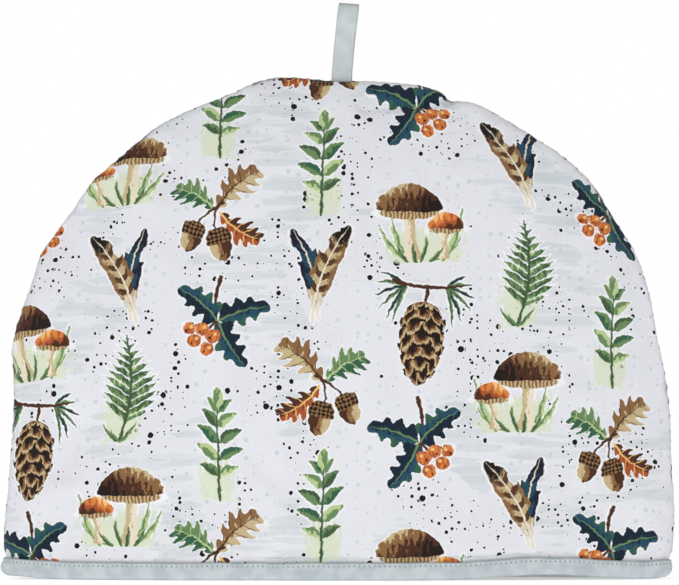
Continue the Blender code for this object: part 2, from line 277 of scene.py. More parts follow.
def weaveGroup():
    tree = bpy.data.node_groups.new("plain weave", "ShaderNodeTree")
    tree.interface.new_socket("Place", in_out="INPUT", socket_type="NodeSocketVector")
    tree.interface.new_socket("Height", in_out="OUTPUT", socket_type="NodeSocketFloat")
    place = tree.nodes.new("NodeGroupInput").outputs[0]
    slub = addNode(tree, "TexNoise 2D", {0: place, 2: 1 / weave["slub"], 3: 1.0}, give=1)
    bent = addNode(tree, "VectorMath MULTIPLY_ADD", slub, (1.2, 1.2, 0.0), place)
    turns = addNode(tree, "VectorMath SCALE", bent, {3: 2 * math.pi / weave["pitch"]})
    waves = addNode(tree, "VectorMath SINE", turns)
    parts = addNode(tree, "SeparateXYZ", waves, give=None).outputs
    crossed = addNode(tree, "Math MULTIPLY", parts[0], parts[1])
    height = addNode(tree, "Math MULTIPLY_ADD", crossed, 0.5, 0.5)
    tree.links.new(height, tree.nodes.new("NodeGroupOutput").inputs[0])
    return tree


plainWeave = weaveGroup()


def newMaterial(name):
    material = bpy.data.materials.new(name)
    material.use_nodes = True
    material.node_tree.nodes.clear()
    return material, material.node_tree


def finishCloth(tree, colour, height, roughness, sheen, strength=0.6):
    # matt woven cotton: rough, a little fuzz, threads as bump
    normal = addNode(tree, "Bump", {"Strength": strength, "Distance": weave["height"], "Height": height})
    shader = addNode(tree, "BsdfPrincipled", {"Base Color": colour, "Roughness": roughness,
                     "Specular IOR Level": 0.15, "Sheen Weight": sheen, "Sheen Roughness": 0.6,
                     "Normal": normal})
    addNode(tree, "OutputMaterial", shader, give=None)


profiles = {
    # along a stroke, half width; the ends are 0.6 mm outside it unless they are given
    "leaf": ((0.14, 0.42), (0.4, 1), (0.74, 0.62)),
    "blade": ((0.05, 0.75), (0.35, 1), (0.75, 0.6)),
    "stem": ((0.03, 1), (0.6, 0.8), (0.96, 0.5)),
    "shaft": ((0.03, 1), (0.5, 0.7), (0.94, 0.2)),
    "vane": ((0.09, 0), (0.13, 0.5), (0.26, 0.85), (0.48, 1), (0.7, 0.86), (0.86, 0.55), (0.95, 0.25)),
    "frond": ((0, -1), (0.13, -1), (0.18, 7), (0.32, 11.5), (0.55, 9), (0.8, 4.6), (1, 0.2)),
    "holly": ((0.08, 0.3), (0.2, 0.95), (0.3, 0.5), (0.44, 1), (0.55, 0.48), (0.68, 0.85), (0.78, 0.38),
              (0.88, 0.42)),
    "oak": ((0.05, 0.12), (0.13, 0.4), (0.2, 0.2), (0.3, 0.78), (0.39, 0.34), (0.51, 1), (0.6, 0.42),
            (0.71, 0.82), (0.79, 0.38), (0.89, 0.5)),
    "cap": ((0.025, 0.86), (0.1, 1), (0.35, 0.93), (0.62, 0.72), (0.85, 0.42)),
    "foot": ((0.03, 1.25), (0.2, 1.1), (0.6, 0.8), (0.97, 0.9)),
    "nut": ((0.04, 0.9), (0.3, 1), (0.65, 0.82), (0.88, 0.4), (0.94, 0.14)),
    "cup": ((0.04, 0.5), (0.3, 0.85), (0.75, 1), (0.96, 0.95)),
    "cone": ((0.04, 0.3), (0.18, 0.66), (0.42, 0.95), (0.62, 1), (0.86, 0.8), (0.97, 0.42)),
}


def stroke(sheet, start, end, halfWidth, bow=0.0, profile="stem", lag=0.0):
    # along runs 0 to 1 from start to end, aside is millimetres left of the line, which bows to its left,
    # depth is millimetres inside the stroke, and a lag slants its lobes or barbs
    tree = sheet.tree
    length, turn = math.dist(start, end), math.atan2(end[1] - start[1], end[0] - start[0])
    origin = (start[0] - bow * math.sin(turn), start[1] + bow * math.cos(turn), 0.0)
    turned = addNode(tree, "Mapping TEXTURE", sheet.place, origin, (0, 0, turn), (length, 1, 1))
    along, aside = addNode(tree, "SeparateXYZ", turned, give=None).outputs[:2]
    if bow:
        centred = addNode(tree, "Math MULTIPLY_ADD", along, 2.0, -1.0)
        squared = addNode(tree, "Math MULTIPLY", centred, centred)
        aside = addNode(tree, "Math MULTIPLY_ADD", squared, bow, aside)
    edge = addNode(tree, "Math ABSOLUTE", aside)
    if lag:
        along = addNode(tree, "Math MULTIPLY_ADD", edge, -lag / length, along)
    widths = {0: -0.6, 1: -0.6, **{t: halfWidth * share for t, share in profiles[profile]}}
    width = addNode(tree, "FloatCurve", 1.0, along, points=sorted(widths.items()))
    depth = addNode(tree, "Math SUBTRACT", width, edge)
    return SimpleNamespace(along=along, aside=aside, edge=edge, width=width, depth=depth, length=length)


def lay(sheet, depth, colour, soft=0.35):
    # paints a colour wherever the depth is above 0
    sheet.colour = toned(sheet.tree, sheet.colour, (depth, -soft / 2, soft / 2, colour))
    sheet.cover = addNode(sheet.tree, "Math MAXIMUM", sheet.cover, depth)


def layStroke(sheet, start, end, halfWidth, bow, colour, profile="stem"):
    lay(sheet, stroke(sheet, start, end, halfWidth, bow, profile).depth, colour)


def layDisc(sheet, x, y, radius, colour):
    away = addNode(sheet.tree, "VectorMath DISTANCE", sheet.place, (x, y, 0.0), give=1)
    lay(sheet, addNode(sheet.tree, "Math SUBTRACT", radius, away), colour)


def layLeaf(sheet, start, end, halfWidth, bow, shade, light, profile="leaf", split=0.0):
    # one half of the leaf is lighter, with a ragged edge between the tones
    leaf = stroke(sheet, start, end, halfWidth, bow, profile)
    ragged = addNode(sheet.tree, "Math MULTIPLY_ADD", sheet.grain, 2.4 * halfWidth, leaf.aside)
    middle = split * halfWidth
    lay(sheet, leaf.depth, toned(sheet.tree, shade, (ragged, middle - 0.15, middle + 0.3, light)))


def layFeather(sheet, base, tip, halfWidth, bow, look):
    tree = sheet.tree
    vane = stroke(sheet, base, tip, halfWidth, bow, "vane", lag=0.75)
    side = addNode(tree, "Math SIGN", vane.aside)
    barbs = addNode(tree, "CombineXYZ", vane.along, side)
    splits = addNode(tree, "TexNoise 2D", {0: barbs, 2: 0.16 * vane.length, 3: 0.0})
    notch = addNode(tree, "MapRange", splits, 0.6, 0.68, 0.0, 0.7)
    notched = addNode(tree, "Math MULTIPLY", notch, vane.edge)
    depth = addNode(tree, "Math SUBTRACT", vane.depth, notched)
    wander = addNode(tree, "Math MULTIPLY", sheet.grain, look["wander"])
    bars = wave(tree, vane.along, 2 * math.pi * vane.length / look["barPitch"], wander)
    fine = wave(tree, vane.along, 2 * math.pi * vane.length / 1.5)
    rim = addNode(tree, "Math MULTIPLY_ADD", sheet.grain, 5.0, vane.edge)
    tipTone = addNode(tree, "Math MULTIPLY_ADD", sheet.grain, 0.25, vane.along)
    colour = toned(tree, look["base"], (bars, look["barShare"], look["barShare"] + 0.3, look["bar"]),
                   (fine, 0.1, 0.9, look["line"], 0.4),
                   (rim, 0.55 * halfWidth, 0.75 * halfWidth, look["rim"]),
                   (tipTone, 0.74, 0.8, look["tip"]), (tipTone, 0.24, 0.17, look["down"]))
    lay(sheet, depth, colour)
    layStroke(sheet, base, tip, 0.55, bow, "cream", "shaft")


def layOakLeaf(sheet, base, tip, halfWidth, bow, shade, light, vein):
    tree = sheet.tree
    leaf = stroke(sheet, base, tip, halfWidth, bow, "oak", lag=0.55)
    ragged = addNode(tree, "Math MULTIPLY_ADD", sheet.grain, 9.0, leaf.aside)
    ribs = wave(tree, leaf.along, 2 * math.pi * 4.8, 0.4)
    lay(sheet, leaf.depth, toned(tree, shade, (ragged, -0.4, 0.5, light), (ribs, 0.93, 0.98, vein, 0.8)))
    layStroke(sheet, base, tip, 0.42, bow, vein, "shaft")


def layAcorn(sheet, stalk, tip, halfWidth):
    tree = sheet.tree
    shoulder, rim = [[stalk[i] * (1.0 - part) + tip[i] * part for i in (0, 1)] for part in (0.28, 0.45)]
    nut = stroke(sheet, shoulder, tip, halfWidth, profile="nut")
    shaded = addNode(tree, "Math MULTIPLY_ADD", sheet.grain, 6.0, nut.aside)
    lay(sheet, nut.depth, toned(tree, "chestnut", (shaded, -1.2, -0.6, "brown"), (shaded, 0.9, 1.5, "tan")))
    # two slanting rows of scales, 1.8 mm apart
    cup = stroke(sheet, stalk, rim, halfWidth * 1.16, profile="cup")
    down = addNode(tree, "Math MULTIPLY", cup.along, 1.75 * cup.length)
    left, right = wave(tree, cup.aside, 1.75, down), wave(tree, cup.aside, -1.75, down)
    scales = addNode(tree, "Math MULTIPLY", left, right)
    lay(sheet, cup.depth, toned(tree, "bark", (scales, -0.1, 0.2, "brown")))


def layWash(sheet, centre, size, share=0.75):
    # a pale brushed patch behind the strokes, streaky at its top and level at its foot
    tree = sheet.tree
    box = addNode(tree, "Mapping TEXTURE", sheet.place, (*centre, 0), {3: (*size, 1)})
    across, up = addNode(tree, "SeparateXYZ", box, give=None).outputs[:2]
    hairs = addNode(tree, "Mapping", sheet.place, {3: (0.75, 0.07, 1)})
    hairs = addNode(tree, "TexNoise 2D", {0: hairs, 2: 1.0, 3: 1.0})
    reach = addNode(tree, "Math MULTIPLY_ADD", hairs, -2.6, up)
    reach = addNode(tree, "Math ADD", reach, 1.3)
    side = addNode(tree, "Math ABSOLUTE", across)
    side = addNode(tree, "Math MULTIPLY_ADD", sheet.grain, 1.6, side)
    foot = addNode(tree, "Math MULTIPLY", sheet.grain, 0.5)
    foot = addNode(tree, "Math SUBTRACT", foot, up)
    edge = addNode(tree, "Math MAXIMUM", reach, side)
    edge = addNode(tree, "Math MAXIMUM", edge, foot)
    patch = addNode(tree, "MapRange", edge, 1.0, 0.9, 0.0, share)
    sheet.colour = addNode(tree, "Mix RGBA", {0: patch, 6: sheet.colour, 7: "meadow"}, give=2)
    sheet.wash = addNode(tree, "Math MAXIMUM", sheet.wash, patch)


def layMushroom(sheet, foot, neck, stemWidth, capWidth, capHeight, tones):
    tree = sheet.tree
    layLeaf(sheet, foot, neck, stemWidth, 0.6, "tan", "cream", "foot", -0.2)
    gill = addNode(tree, "Mapping TEXTURE", sheet.place, (neck[0], neck[1] - 0.4, 0),
                   {3: (capWidth * 0.88, capWidth * 0.2, 1)})
    away = addNode(tree, "VectorMath LENGTH", gill, give=1)
    depth = addNode(tree, "Math MULTIPLY_ADD", away, -capWidth * 0.2, capWidth * 0.2)
    lines = wave(tree, addNode(tree, "SeparateXYZ", gill), capWidth * 3.4)
    lay(sheet, depth, toned(tree, "brown", (lines, -0.2, 0.4, "tan")))
    cap = stroke(sheet, neck, (neck[0] + 0.4, neck[1] + capHeight), capWidth, profile="cap")
    lit = addNode(tree, "Math MULTIPLY_ADD", cap.aside, 0.55 / capWidth, cap.along)
    lit = addNode(tree, "Math MULTIPLY_ADD", sheet.grain, 1.5, lit)
    lay(sheet, cap.depth, toned(tree, tones[0], (lit, 0.05, 0.12, tones[1]), (lit, 0.48, 0.55, tones[2]),
                                (lit, 0.9, 0.97, tones[3])))


def layHolly(sheet, base, tip, halfWidth, bow):
    leaf = stroke(sheet, base, tip, halfWidth, bow, "holly")
    ragged = addNode(sheet.tree, "Math MULTIPLY_ADD", sheet.grain, 10.0, leaf.aside)
    lay(sheet, leaf.depth, toned(sheet.tree, "tealDark", (ragged, -0.2, 0.5, "teal"),
                                 (ragged, 0.45 * halfWidth, 0.6 * halfWidth, "bottle")))
    layStroke(sheet, base, tip, 0.42, bow, "sage", "shaft")


def featherPair(sheet):
    tealLook = {"base": "teal", "bar": "tealDark", "line": "tealDark", "rim": "navy", "tip": "navy",
                "down": "#D8D4CC", "barPitch": 9.0, "barShare": 0.3, "wander": 4.0}
    brownLook = {"base": "tan", "bar": "chestnut", "line": "brown", "rim": "brown", "tip": "bark",
                 "down": "#E2DACB", "barPitch": 6.2, "barShare": -0.15, "wander": 2.5}
    layFeather(sheet, (1.5, -20), (-14, 18), 4.7, -3.4, tealLook)
    layFeather(sheet, (-1, -22), (11, 22), 5.2, 3.6, brownLook)


def fernFrond(sheet):
    tree = sheet.tree
    layWash(sheet, (-1, -15), (8, 9))
    base, tip, bow, pitch = (-3, -23), (4, 23), -4.0, 3.5
    frond = stroke(sheet, base, tip, 1.0, bow, "frond", lag=0.6)
    # leaflets a pitch apart, each side half a pitch from the other
    side = addNode(tree, "Math GREATER_THAN", frond.aside, 0.0)
    half = addNode(tree, "Math MULTIPLY", side, 0.5)
    count = addNode(tree, "Math MULTIPLY_ADD", frond.along, frond.length / pitch, half)
    cell = addNode(tree, "Math PINGPONG", count, 1.0)
    taper = addNode(tree, "Math MULTIPLY", frond.depth, 0.34)
    taper = addNode(tree, "Math MINIMUM", taper, 0.42 * pitch)
    centre = addNode(tree, "Math ADD", cell, -0.5)
    centre = addNode(tree, "Math ABSOLUTE", centre)
    depth = addNode(tree, "Math MULTIPLY_ADD", centre, -pitch, taper)
    tone = addNode(tree, "Math MULTIPLY_ADD", sheet.grain, 3.0, cell)
    colour = toned(tree, "darkGreen", (tone, 0.3, 0.5, "sage"), (tone, 1.0, 1.15, "lightGreen"))
    lay(sheet, depth, colour, 0.3)
    layStroke(sheet, base, tip, 0.6, bow, "darkGreen")
    for end, width, bend in (((-9, -14), 0.8, 0.8), ((6, -15), 0.8, -0.8), ((-6, -17), 0.7, 0.4)):
        layLeaf(sheet, base, end, width, bend, "sage", "darkGreen", "blade")


def toadstools(sheet):
    layWash(sheet, (2, -13), (16, 7.5))
    for foot, top, width, bow in (((-8, -18), (-17, -4), 1.1, 1.5), ((-6, -19), (-12, 1), 1.0, 1.2),
                                  ((6, -19), (18, -9), 1.0, -1.5), ((9, -20), (19, 4), 1.1, -2.0)):
        layLeaf(sheet, foot, top, width, bow, "sage", "lightGreen", "blade")
    layMushroom(sheet, (10, -19), (11.5, -6), 2.0, 8.0, 7.5, ("chestnut", "rust", "orange", "paleOrange"))
    layMushroom(sheet, (-3, -19), (-4, 2), 3.0, 14.5, 13.0, ("bark", "chestnut", "brown", "tan"))
    for foot, top, width, bow in (((0, -20), (3, -8), 0.9, -0.8), ((4, -20), (10, -13), 0.8, -0.8),
                                  ((-5, -20), (-10, -12), 0.9, 0.8), ((-2, -20), (-3, -11), 0.8, 0.4)):
        layLeaf(sheet, foot, top, width, bow, "darkGreen", "sage", "blade")


def oakSprig(sheet):
    layOakLeaf(sheet, (2, 2), (-17, 17), 8.0, -2.0, "brown", "tan", "chestnut")
    layOakLeaf(sheet, (3, 2), (19, 14), 7.2, 2.0, "bottle", "sage", "lightGreen")
    layOakLeaf(sheet, (1, 1), (-15, -13), 6.4, 2.0, "chestnut", "rust", "paleOrange")
    layStroke(sheet, (-2, 5), (12, -4), 0.6, 1.0, "chestnut")
    layStroke(sheet, (2, 3), (3, -7), 0.5, 1.0, "chestnut")
    layAcorn(sheet, (11, -2), (17, -15), 4.4)
    layAcorn(sheet, (3, -6), (1, -21), 4.8)


def pineCone(sheet):
    tree = sheet.tree
    sprays = (
        # root, needle tips
        ((-8, 19), ((-21, 24), (-22, 19), (-22, 13), (-20, 7), (-16, 3), (-13, 1))),
        ((9, 20), ((18, 26), (21, 22), (22, 16), (21, 10), (17, 5), (13, 2))),
    )
    for root, tips in sprays:
        for i, tip in enumerate(tips):
            shade, light = (("tealDark", "bottle"), ("darkGreen", "sage"))[i % 2]
            layLeaf(sheet, root, tip, 0.75, 0.1 * root[0], shade, light, "blade")
    layStroke(sheet, (-15, 21), (17, 22), 0.9, -2.2, "chestnut")
    layStroke(sheet, (1, 20), (0, 10), 0.8, 0.3, "chestnut")
    cone = stroke(sheet, (1, -23), (0, 13), 9.6, profile="cone")
    # rows and columns of scales, closer towards the cone's edges
    across = addNode(tree, "Math DIVIDE", cone.aside, cone.width)
    across = addNode(tree, "Clamp", across, -1.0, 1.0)
    turn = addNode(tree, "Math ARCSINE", across)
    bend = addNode(tree, "Math MULTIPLY", across, across)
    rows = addNode(tree, "Math MULTIPLY", bend, 0.8)
    rows = addNode(tree, "Math MULTIPLY_ADD", cone.along, 6.6, rows)
    row = addNode(tree, "Math FLOOR", rows)
    shift = addNode(tree, "Math MULTIPLY", turn, 1.3)
    shift = addNode(tree, "Math MULTIPLY_ADD", row, 0.5, shift)
    column = addNode(tree, "Math FRACT", shift)
    column = addNode(tree, "Math MULTIPLY_ADD", column, 1.5, -0.75)
    down = addNode(tree, "Math FRACT", rows)
    down = addNode(tree, "Math SUBTRACT", 1.0, down)
    fan = addNode(tree, "CombineXYZ", column, down)
    fan = addNode(tree, "VectorMath LENGTH", fan, give=1)
    fan = addNode(tree, "Math MULTIPLY_ADD", sheet.grain, 0.7, fan)
    # the scales stand out a little at the edge of the cone
    spread = addNode(tree, "Math MULTIPLY_ADD", fan, -1.6, 1.0)
    depth = addNode(tree, "Math ADD", cone.depth, spread)
    lit = addNode(tree, "Math MULTIPLY_ADD", across, -0.12, fan)
    bands = ((0.3, "chestnut"), (0.46, "brown"), (0.64, "tan"), (0.8, "brown"), (0.86, "bark"))
    lay(sheet, depth, toned(tree, "bark", *[(lit, start, start + 0.001, tone) for start, tone in bands]))


def ashSprig(sheet):
    layWash(sheet, (0, -17), (8, 8))
    greens = (("darkGreen", "sage"), ("sage", "lightGreen"), ("bottle", "sage"))
    pairs = (
        # up the stem, length, half width, lean of the left leaf and of the right leaf
        (-14, 10, 2, 152, 30), (-7.5, 12.5, 2.3, 148, 34), (-0.5, 13, 2.4, 144, 38),
        (6.5, 11.5, 2.2, 138, 44), (12.5, 9, 1.8, 130, 52),
    )
    for i, (up, length, width, left, right) in enumerate(pairs):
        for lean, bow in ((left, -1.2), (right, 1.2)):
            x, turn = 0.5 + 0.09 * up, math.radians(lean)
            shade, light = greens[(i + (lean > 90)) % 3]
            end = (x + length * math.cos(turn), up + length * math.sin(turn))
            layLeaf(sheet, (x, up), end, width, bow, shade, light)
    layLeaf(sheet, (1.8, 14), (3.5, 25), 2.1, 0.6, "sage", "lightGreen")
    layStroke(sheet, (-2, -25), (2, 16), 0.55, 0.0, "darkGreen")


def hollySprig(sheet):
    layStroke(sheet, (3, 22), (1, 0), 0.8, 1.5, "chestnut")
    for end in ((7, -6), (2, -9), (12, -3)):
        layStroke(sheet, (1, 2), end, 0.45, 0.6, "chestnut")
    layHolly(sheet, (1, 2), (-20, 12), 6.6, -1.5)
    layHolly(sheet, (1, 2), (20, 13), 6.6, 1.5)
    layHolly(sheet, (1, 2), (-14, -15), 6.2, 1.2)
    glow = toned(sheet.tree, "rust", (sheet.grain, -0.08, 0.06, "orange"))
    for x, y, radius in ((12.5, -3, 2.6), (3.5, -10.5, 2.9), (9.5, -8, 2.9), (7, -2.5, 2.8), (2, -4.5, 3.1)):
        layDisc(sheet, x, y, radius, glow)
        layDisc(sheet, x - 0.8, y + 0.9, 0.8, "paleOrange")
        layDisc(sheet, x + 0.9, y - 1.2, 0.5, "bark")


groundMarks = {
    "washes": (
        # length, height, longest, strength
        (46, 6.5, 0.58, 0.5), (30, 5, 0.55, 0.42), (62, 9, 0.46, 0.32),
    ),
    "specks": (
        # spacing, colour, flock from, flock to, smallest, largest, softness, strength, bare rim
        (5.2, "paleSpeck", 0.58, 0.45, 0.05, 1.3, 0.4, 0.8, 0),
        (3.4, "speck", 0.5, 0.58, -0.05, 1, 0.18, 1, 0.4),
        (6.6, "speck", 0.46, 0.56, -0.25, 1.95, 0.18, 1, 0.5),
    ),
}


def groundGroup():
    # pale tint printed on white cloth, with brushed washes and flicked specks, before any motif
    tree = bpy.data.node_groups.new("printed ground", "ShaderNodeTree")
    tree.interface.new_socket("Marked", in_out="OUTPUT", socket_type="NodeSocketColor")
    tree.interface.new_socket("Height", in_out="OUTPUT", socket_type="NodeSocketFloat")
    place = addNode(tree, "UVMap", uv_map="PrintMap")
    mottle = addNode(tree, "TexNoise 2D", {0: place, 2: 0.03, 3: 1.0})
    marked = toned(tree, "ground", (mottle, 0.35, 0.65, "groundShade"))
    # washes: level brush strokes, ragged at their ends, in loose stacks
    stack = addNode(tree, "TexNoise 2D", {0: place, 2: 0.02, 3: 0.0})
    stack = addNode(tree, "MapRange", stack, 0.48, 0.6)
    hair = addNode(tree, "Mapping", place, {3: (0.07, 0.8, 1.0)})
    hair = addNode(tree, "TexNoise 2D", {0: hair, 2: 1.0, 3: 1.5})
    for length, height, longest, share in groundMarks["washes"]:
        level = addNode(tree, "Mapping", place, (0.37 * length, 0.21 * length, 0),
                        {3: (1 / length, 1 / height, 1)})
        cells = addNode(tree, "TexVoronoi 2D", {0: level, 2: 1.0}, give=None).outputs
        size = addNode(tree, "SeparateColor", cells["Color"])
        size = addNode(tree, "Math MULTIPLY", size, longest)
        size = addNode(tree, "Math MULTIPLY", size, stack)
        size = addNode(tree, "Math MULTIPLY_ADD", hair, 0.3, size)
        inside = addNode(tree, "Math SUBTRACT", size, cells["Distance"])
        marked = toned(tree, marked, (inside, 0.15, 0.19, "wash", share))
    # specks in flocks: ink dots with a rim of bare cloth, and softer pale ones
    shake = addNode(tree, "TexNoise 2D", {0: place, 2: 0.9, 3: 0.0}, give=1)
    shaken = addNode(tree, "VectorMath MULTIPLY_ADD", shake, (0.5, 0.5, 0.0), place)
    for spacing, colour, low, high, least, most, soft, share, rim in groundMarks["specks"]:
        shifted = addNode(tree, "Mapping", shaken, (9 * spacing, 5 * spacing, 0))
        cells = addNode(tree, "TexVoronoi 2D", {0: shifted, 2: 1 / spacing}, give=None).outputs
        size = addNode(tree, "Math POWER", addNode(tree, "SeparateColor", cells["Color"]), 2.2)
        size = addNode(tree, "Math MULTIPLY_ADD", size, most, least)
        size = addNode(tree, "Math MULTIPLY", size, addNode(tree, "MapRange", mottle, low, high))
        inside = addNode(tree, "Math MULTIPLY_ADD", cells["Distance"], -spacing, size)
        if rim:
            there = addNode(tree, "Math GREATER_THAN", size, 0.12)
            ring = addNode(tree, "MapRange", inside, -rim - 0.15, -rim + 0.15, 0.0, 0.75)
            ring = addNode(tree, "Math MULTIPLY", ring, there)
            marked = addNode(tree, "Mix RGBA", {0: ring, 6: marked, 7: "bare"}, give=2)
        marked = toned(tree, marked, (inside, -soft / 2, soft / 2, colour, share))
    end = tree.nodes.new("NodeGroupOutput")
    tree.links.new(marked, end.inputs[0])
    tree.links.new(addNode(tree, "Group", place, node_tree=plainWeave), end.inputs[1])
    return tree


printedGround = groundGroup()


def printedCotton(name, motif):
    # reactive print on plain-weave cotton: matt, and the threads show through the ink
    material, tree = newMaterial(name)
    marked, height = addNode(tree, "Group", give=None, node_tree=printedGround).outputs
    place = addNode(tree, "UVMap", uv_map="MotifMap")
    wobble = addNode(tree, "TexNoise 2D", {0: place, 2: 0.3, 3: 2.5, 4: 0.6}, give=1)
    wobble = addNode(tree, "VectorMath ADD", wobble, (-0.5, -0.5, -0.5))
    place = addNode(tree, "VectorMath MULTIPLY_ADD", wobble, (1.9, 1.9, 0.0), place)
    bristles = addNode(tree, "Mapping", place, {2: (0, 0, 0.5), 3: (0.55, 0.2, 1)})
    grain = addNode(tree, "TexNoise 2D", {0: bristles, 2: 1.0, 3: 2.0, 4: 0.6})
    grain = addNode(tree, "Math ADD", grain, -0.5)
    sheet = SimpleNamespace(tree=tree, place=place, grain=grain, colour="bare", cover=-9.0, wash=0.0)
    motif(sheet)
    halo = addNode(tree, "MapRange", sheet.cover, -0.95, -0.6)
    halo = addNode(tree, "Math MAXIMUM", halo, sheet.wash)
    colour = addNode(tree, "Mix RGBA", {0: halo, 6: marked, 7: sheet.colour}, give=2)
    colour = toned(tree, colour, (height, 0.5, 1.0, "#E4E2E0", 0.03))
    # painted shade from the shade attribute: darker in the seam and just above the binding
    seam = addNode(tree, "Attribute", give=2, attribute_name="shade")
    colour = addNode(tree, "Mix RGBA", {0: seam, 6: colour, 7: "#15161C"}, give=2)
    finishCloth(tree, colour, height, 0.88, 0.05)
    return material


def plainCloth(tree, mapName, look, slant=0.0):
    # unprinted cotton: mottled, with painted shade darkening the gaps between its threads
    place = addNode(tree, "UVMap", uv_map=mapName)
    slanted = addNode(tree, "Mapping", place, {2: (0, 0, math.radians(slant))})
    height = addNode(tree, "Group", slanted, node_tree=plainWeave)
    mottle = addNode(tree, "TexNoise 2D", {0: place, 2: look["mottle"], 3: 3.0})
    colour = toned(tree, look["dull"], (mottle, *look["spread"], look["bright"]),
                   (height, 0.6, 0.0, look["gaps"], look["gapShare"]))
    return place, height, mottle, colour


def liningCotton():
    # unbleached plain-weave lining, a little creased and warmer than the print's ground
    material, tree = newMaterial("plain-weave cotton lining")
    look = {"mottle": 0.05, "spread": (0.35, 0.65), "dull": "#E9E6DE", "bright": "#F1EFE9",
            "gaps": "#D3CFC5", "gapShare": 0.25}
    _, height, _, colour = plainCloth(tree, "PrintMap", look)
    finishCloth(tree, colour, height, 0.88, 0.1)
    return material


motifKinds = {
    # drawing, half width and half height of its cell
    "feather pair": (featherPair, 20, 25),
    "fern frond": (fernFrond, 17, 26),
    "toadstools": (toadstools, 22, 23),
    "oak sprig": (oakSprig, 23, 23),
    "pine cone": (pineCone, 22, 26),
    "ash sprig": (ashSprig, 17, 27),
    "holly sprig": (hollySprig, 23, 22),
}
printPlan = {
    "size": 1.2,         # the drawings' own sizes times this
    "tile": (204, 177),
    "drop": 59,          # each tile to the right stands this much higher
    "tilesUp": 5,        # tiles tried above and below the first
    "margin": 40,        # no motif reaches farther than this from its middle
    "frontShift": (10, 20),
    "backShift": (75, 104),
    "motifs": (
        # kind, right, up, turn deg, mirrored
        ("feather pair", 0, 0, -6, False), ("ash sprig", 1, 59, 4, False),
        ("oak sprig", -1, 119, -4, False), ("toadstools", 51, 30, 2, False),
        ("holly sprig", 50, 88, 8, False), ("pine cone", 52, 147, -6, False),
        ("fern frond", 102, 1, 5, False), ("feather pair", 103, 59, 14, True),
        ("toadstools", 102, 120, 0, True), ("holly sprig", 153, 32, -10, True),
        ("oak sprig", 154, 90, 6, True), ("ash sprig", 153, 149, -5, True),
    ),
}


def placedMotifs(low, high):
    # every copy of every motif that can reach the flat cloth between two corners
    wide, tall = printPlan["tile"]
    margin, tilesUp = printPlan["margin"], printPlan["tilesUp"]
    copies = []
    for i in range(math.floor(low[0] / wide) - 1, math.ceil(high[0] / wide) + 1):
        for j in range(-tilesUp, tilesUp + 1):
            for kind, right, up, turn, mirrored in printPlan["motifs"]:
                x, y = right + i * wide, up + j * tall + i * printPlan["drop"]
                if low[0] - margin < x < high[0] + margin and low[1] - margin < y < high[1] + margin:
                    copies.append((kind, x, y, math.radians(turn), -1.0 if mirrored else 1.0))
    return copies


def inMotif(flat, copy):
    # places on the flat cloth, in the drawing's own millimetres
    _, x, y, turn, flip = copy
    dx, dy = (flat[..., 0] - x) / printPlan["size"], (flat[..., 1] - y) / printPlan["size"]
    return np.stack([flip * (dx * math.cos(turn) + dy * math.sin(turn)),
                     dy * math.cos(turn) - dx * math.sin(turn)], axis=-1)


panel = {
    "columns": 236,
    "rows": 148,
    "hemRows": 9,
    "spread": 170.0,       # half width over which the columns are evenly spread
    "seamCloser": 2.2,     # how much closer the rows lie near the seam
    "closerReach": 7.0,
    "hemFoot": 1.3,        # the cloth ends at this height inside the binding
    "pucker": 0.34,        # small gathers where the seam draws the cloth in
    "puckerPitch": 9.5,
    "finePitch": 4.1,
    "puckerReach": 9.0,
    "lump": 0.35,          # unevenness of the padding
    "tuck": 0.22,          # small tucks above the binding
    "tuckPitch": 13.0,
    "tuckReach": 9.0,
    "footX": 1.4,          # the loop's foot
    "footZ": (200.0, 240.0),
    "loopOpening": 1.7,    # how far the seam opens round the foot of the loop
    "openingHalf": 8.0,
    "openingReach": 7.0,
    "stagger": 0.35,       # the back panel's edge stands higher there, the front's lower
    "staggerReach": 5.0,
    "creaseEase": 6.0,     # creases fade out over this distance from the seam
    "seamShade": 3.3,      # reach of the painted shade in the seam
    "seamDark": 0.56,
    "loopDark": 0.42,      # more of it beside the loop
    "loopDarkHalf": 13.0,
    "footEase": 5.5,       # the cover swells out over this height above the binding
    "footShade": 1.0,      # height of the painted shade above the binding
    "footDark": 0.34,
}
settling = {
    "every": 2,           # the solver gets every second row and column
    "frames": 18,
    "spareCloth": 0.022,  # the cover is cut this much larger than the padding
    "pressure": 0.3,
    "hold": 0.02,         # the padding holds the cloth back between its seams
    "heldBand": 4.0,      # cloth this near to a seam doesn't move
    "swellKept": 0.3,     # share of the even swelling that stays, beside the wrinkles
    "swellSpan": 13,      # points over which the movement is averaged for that
    "most": 1.5,
}
bakeBands = {
    # foot and top of each band, as shares of the map
    "margin": 0.004,
    "lining": (0.004, 0.194),
    "rim": (0.205, 0.225),
    "printed": (0.235, 0.996),
}


def evenTurns(count):
    # angles from the middle to the seam, at even steps of cloth and closer near the seam
    fine = np.linspace(0.0, math.pi / 2, 3000)
    step = np.hypot(panel["spread"] * np.cos(fine), dome["hemHalfDepth"] * np.sin(fine))
    away = (math.pi / 2 - fine) * dome["hemHalfDepth"]
    step *= 1.0 + panel["seamCloser"] * fade(away, panel["closerReach"])
    run = np.concatenate([[0.0], np.cumsum((step[1:] + step[:-1]) / 2)])
    return np.interp(np.linspace(0.0, run[-1], count + 1), run, fine)


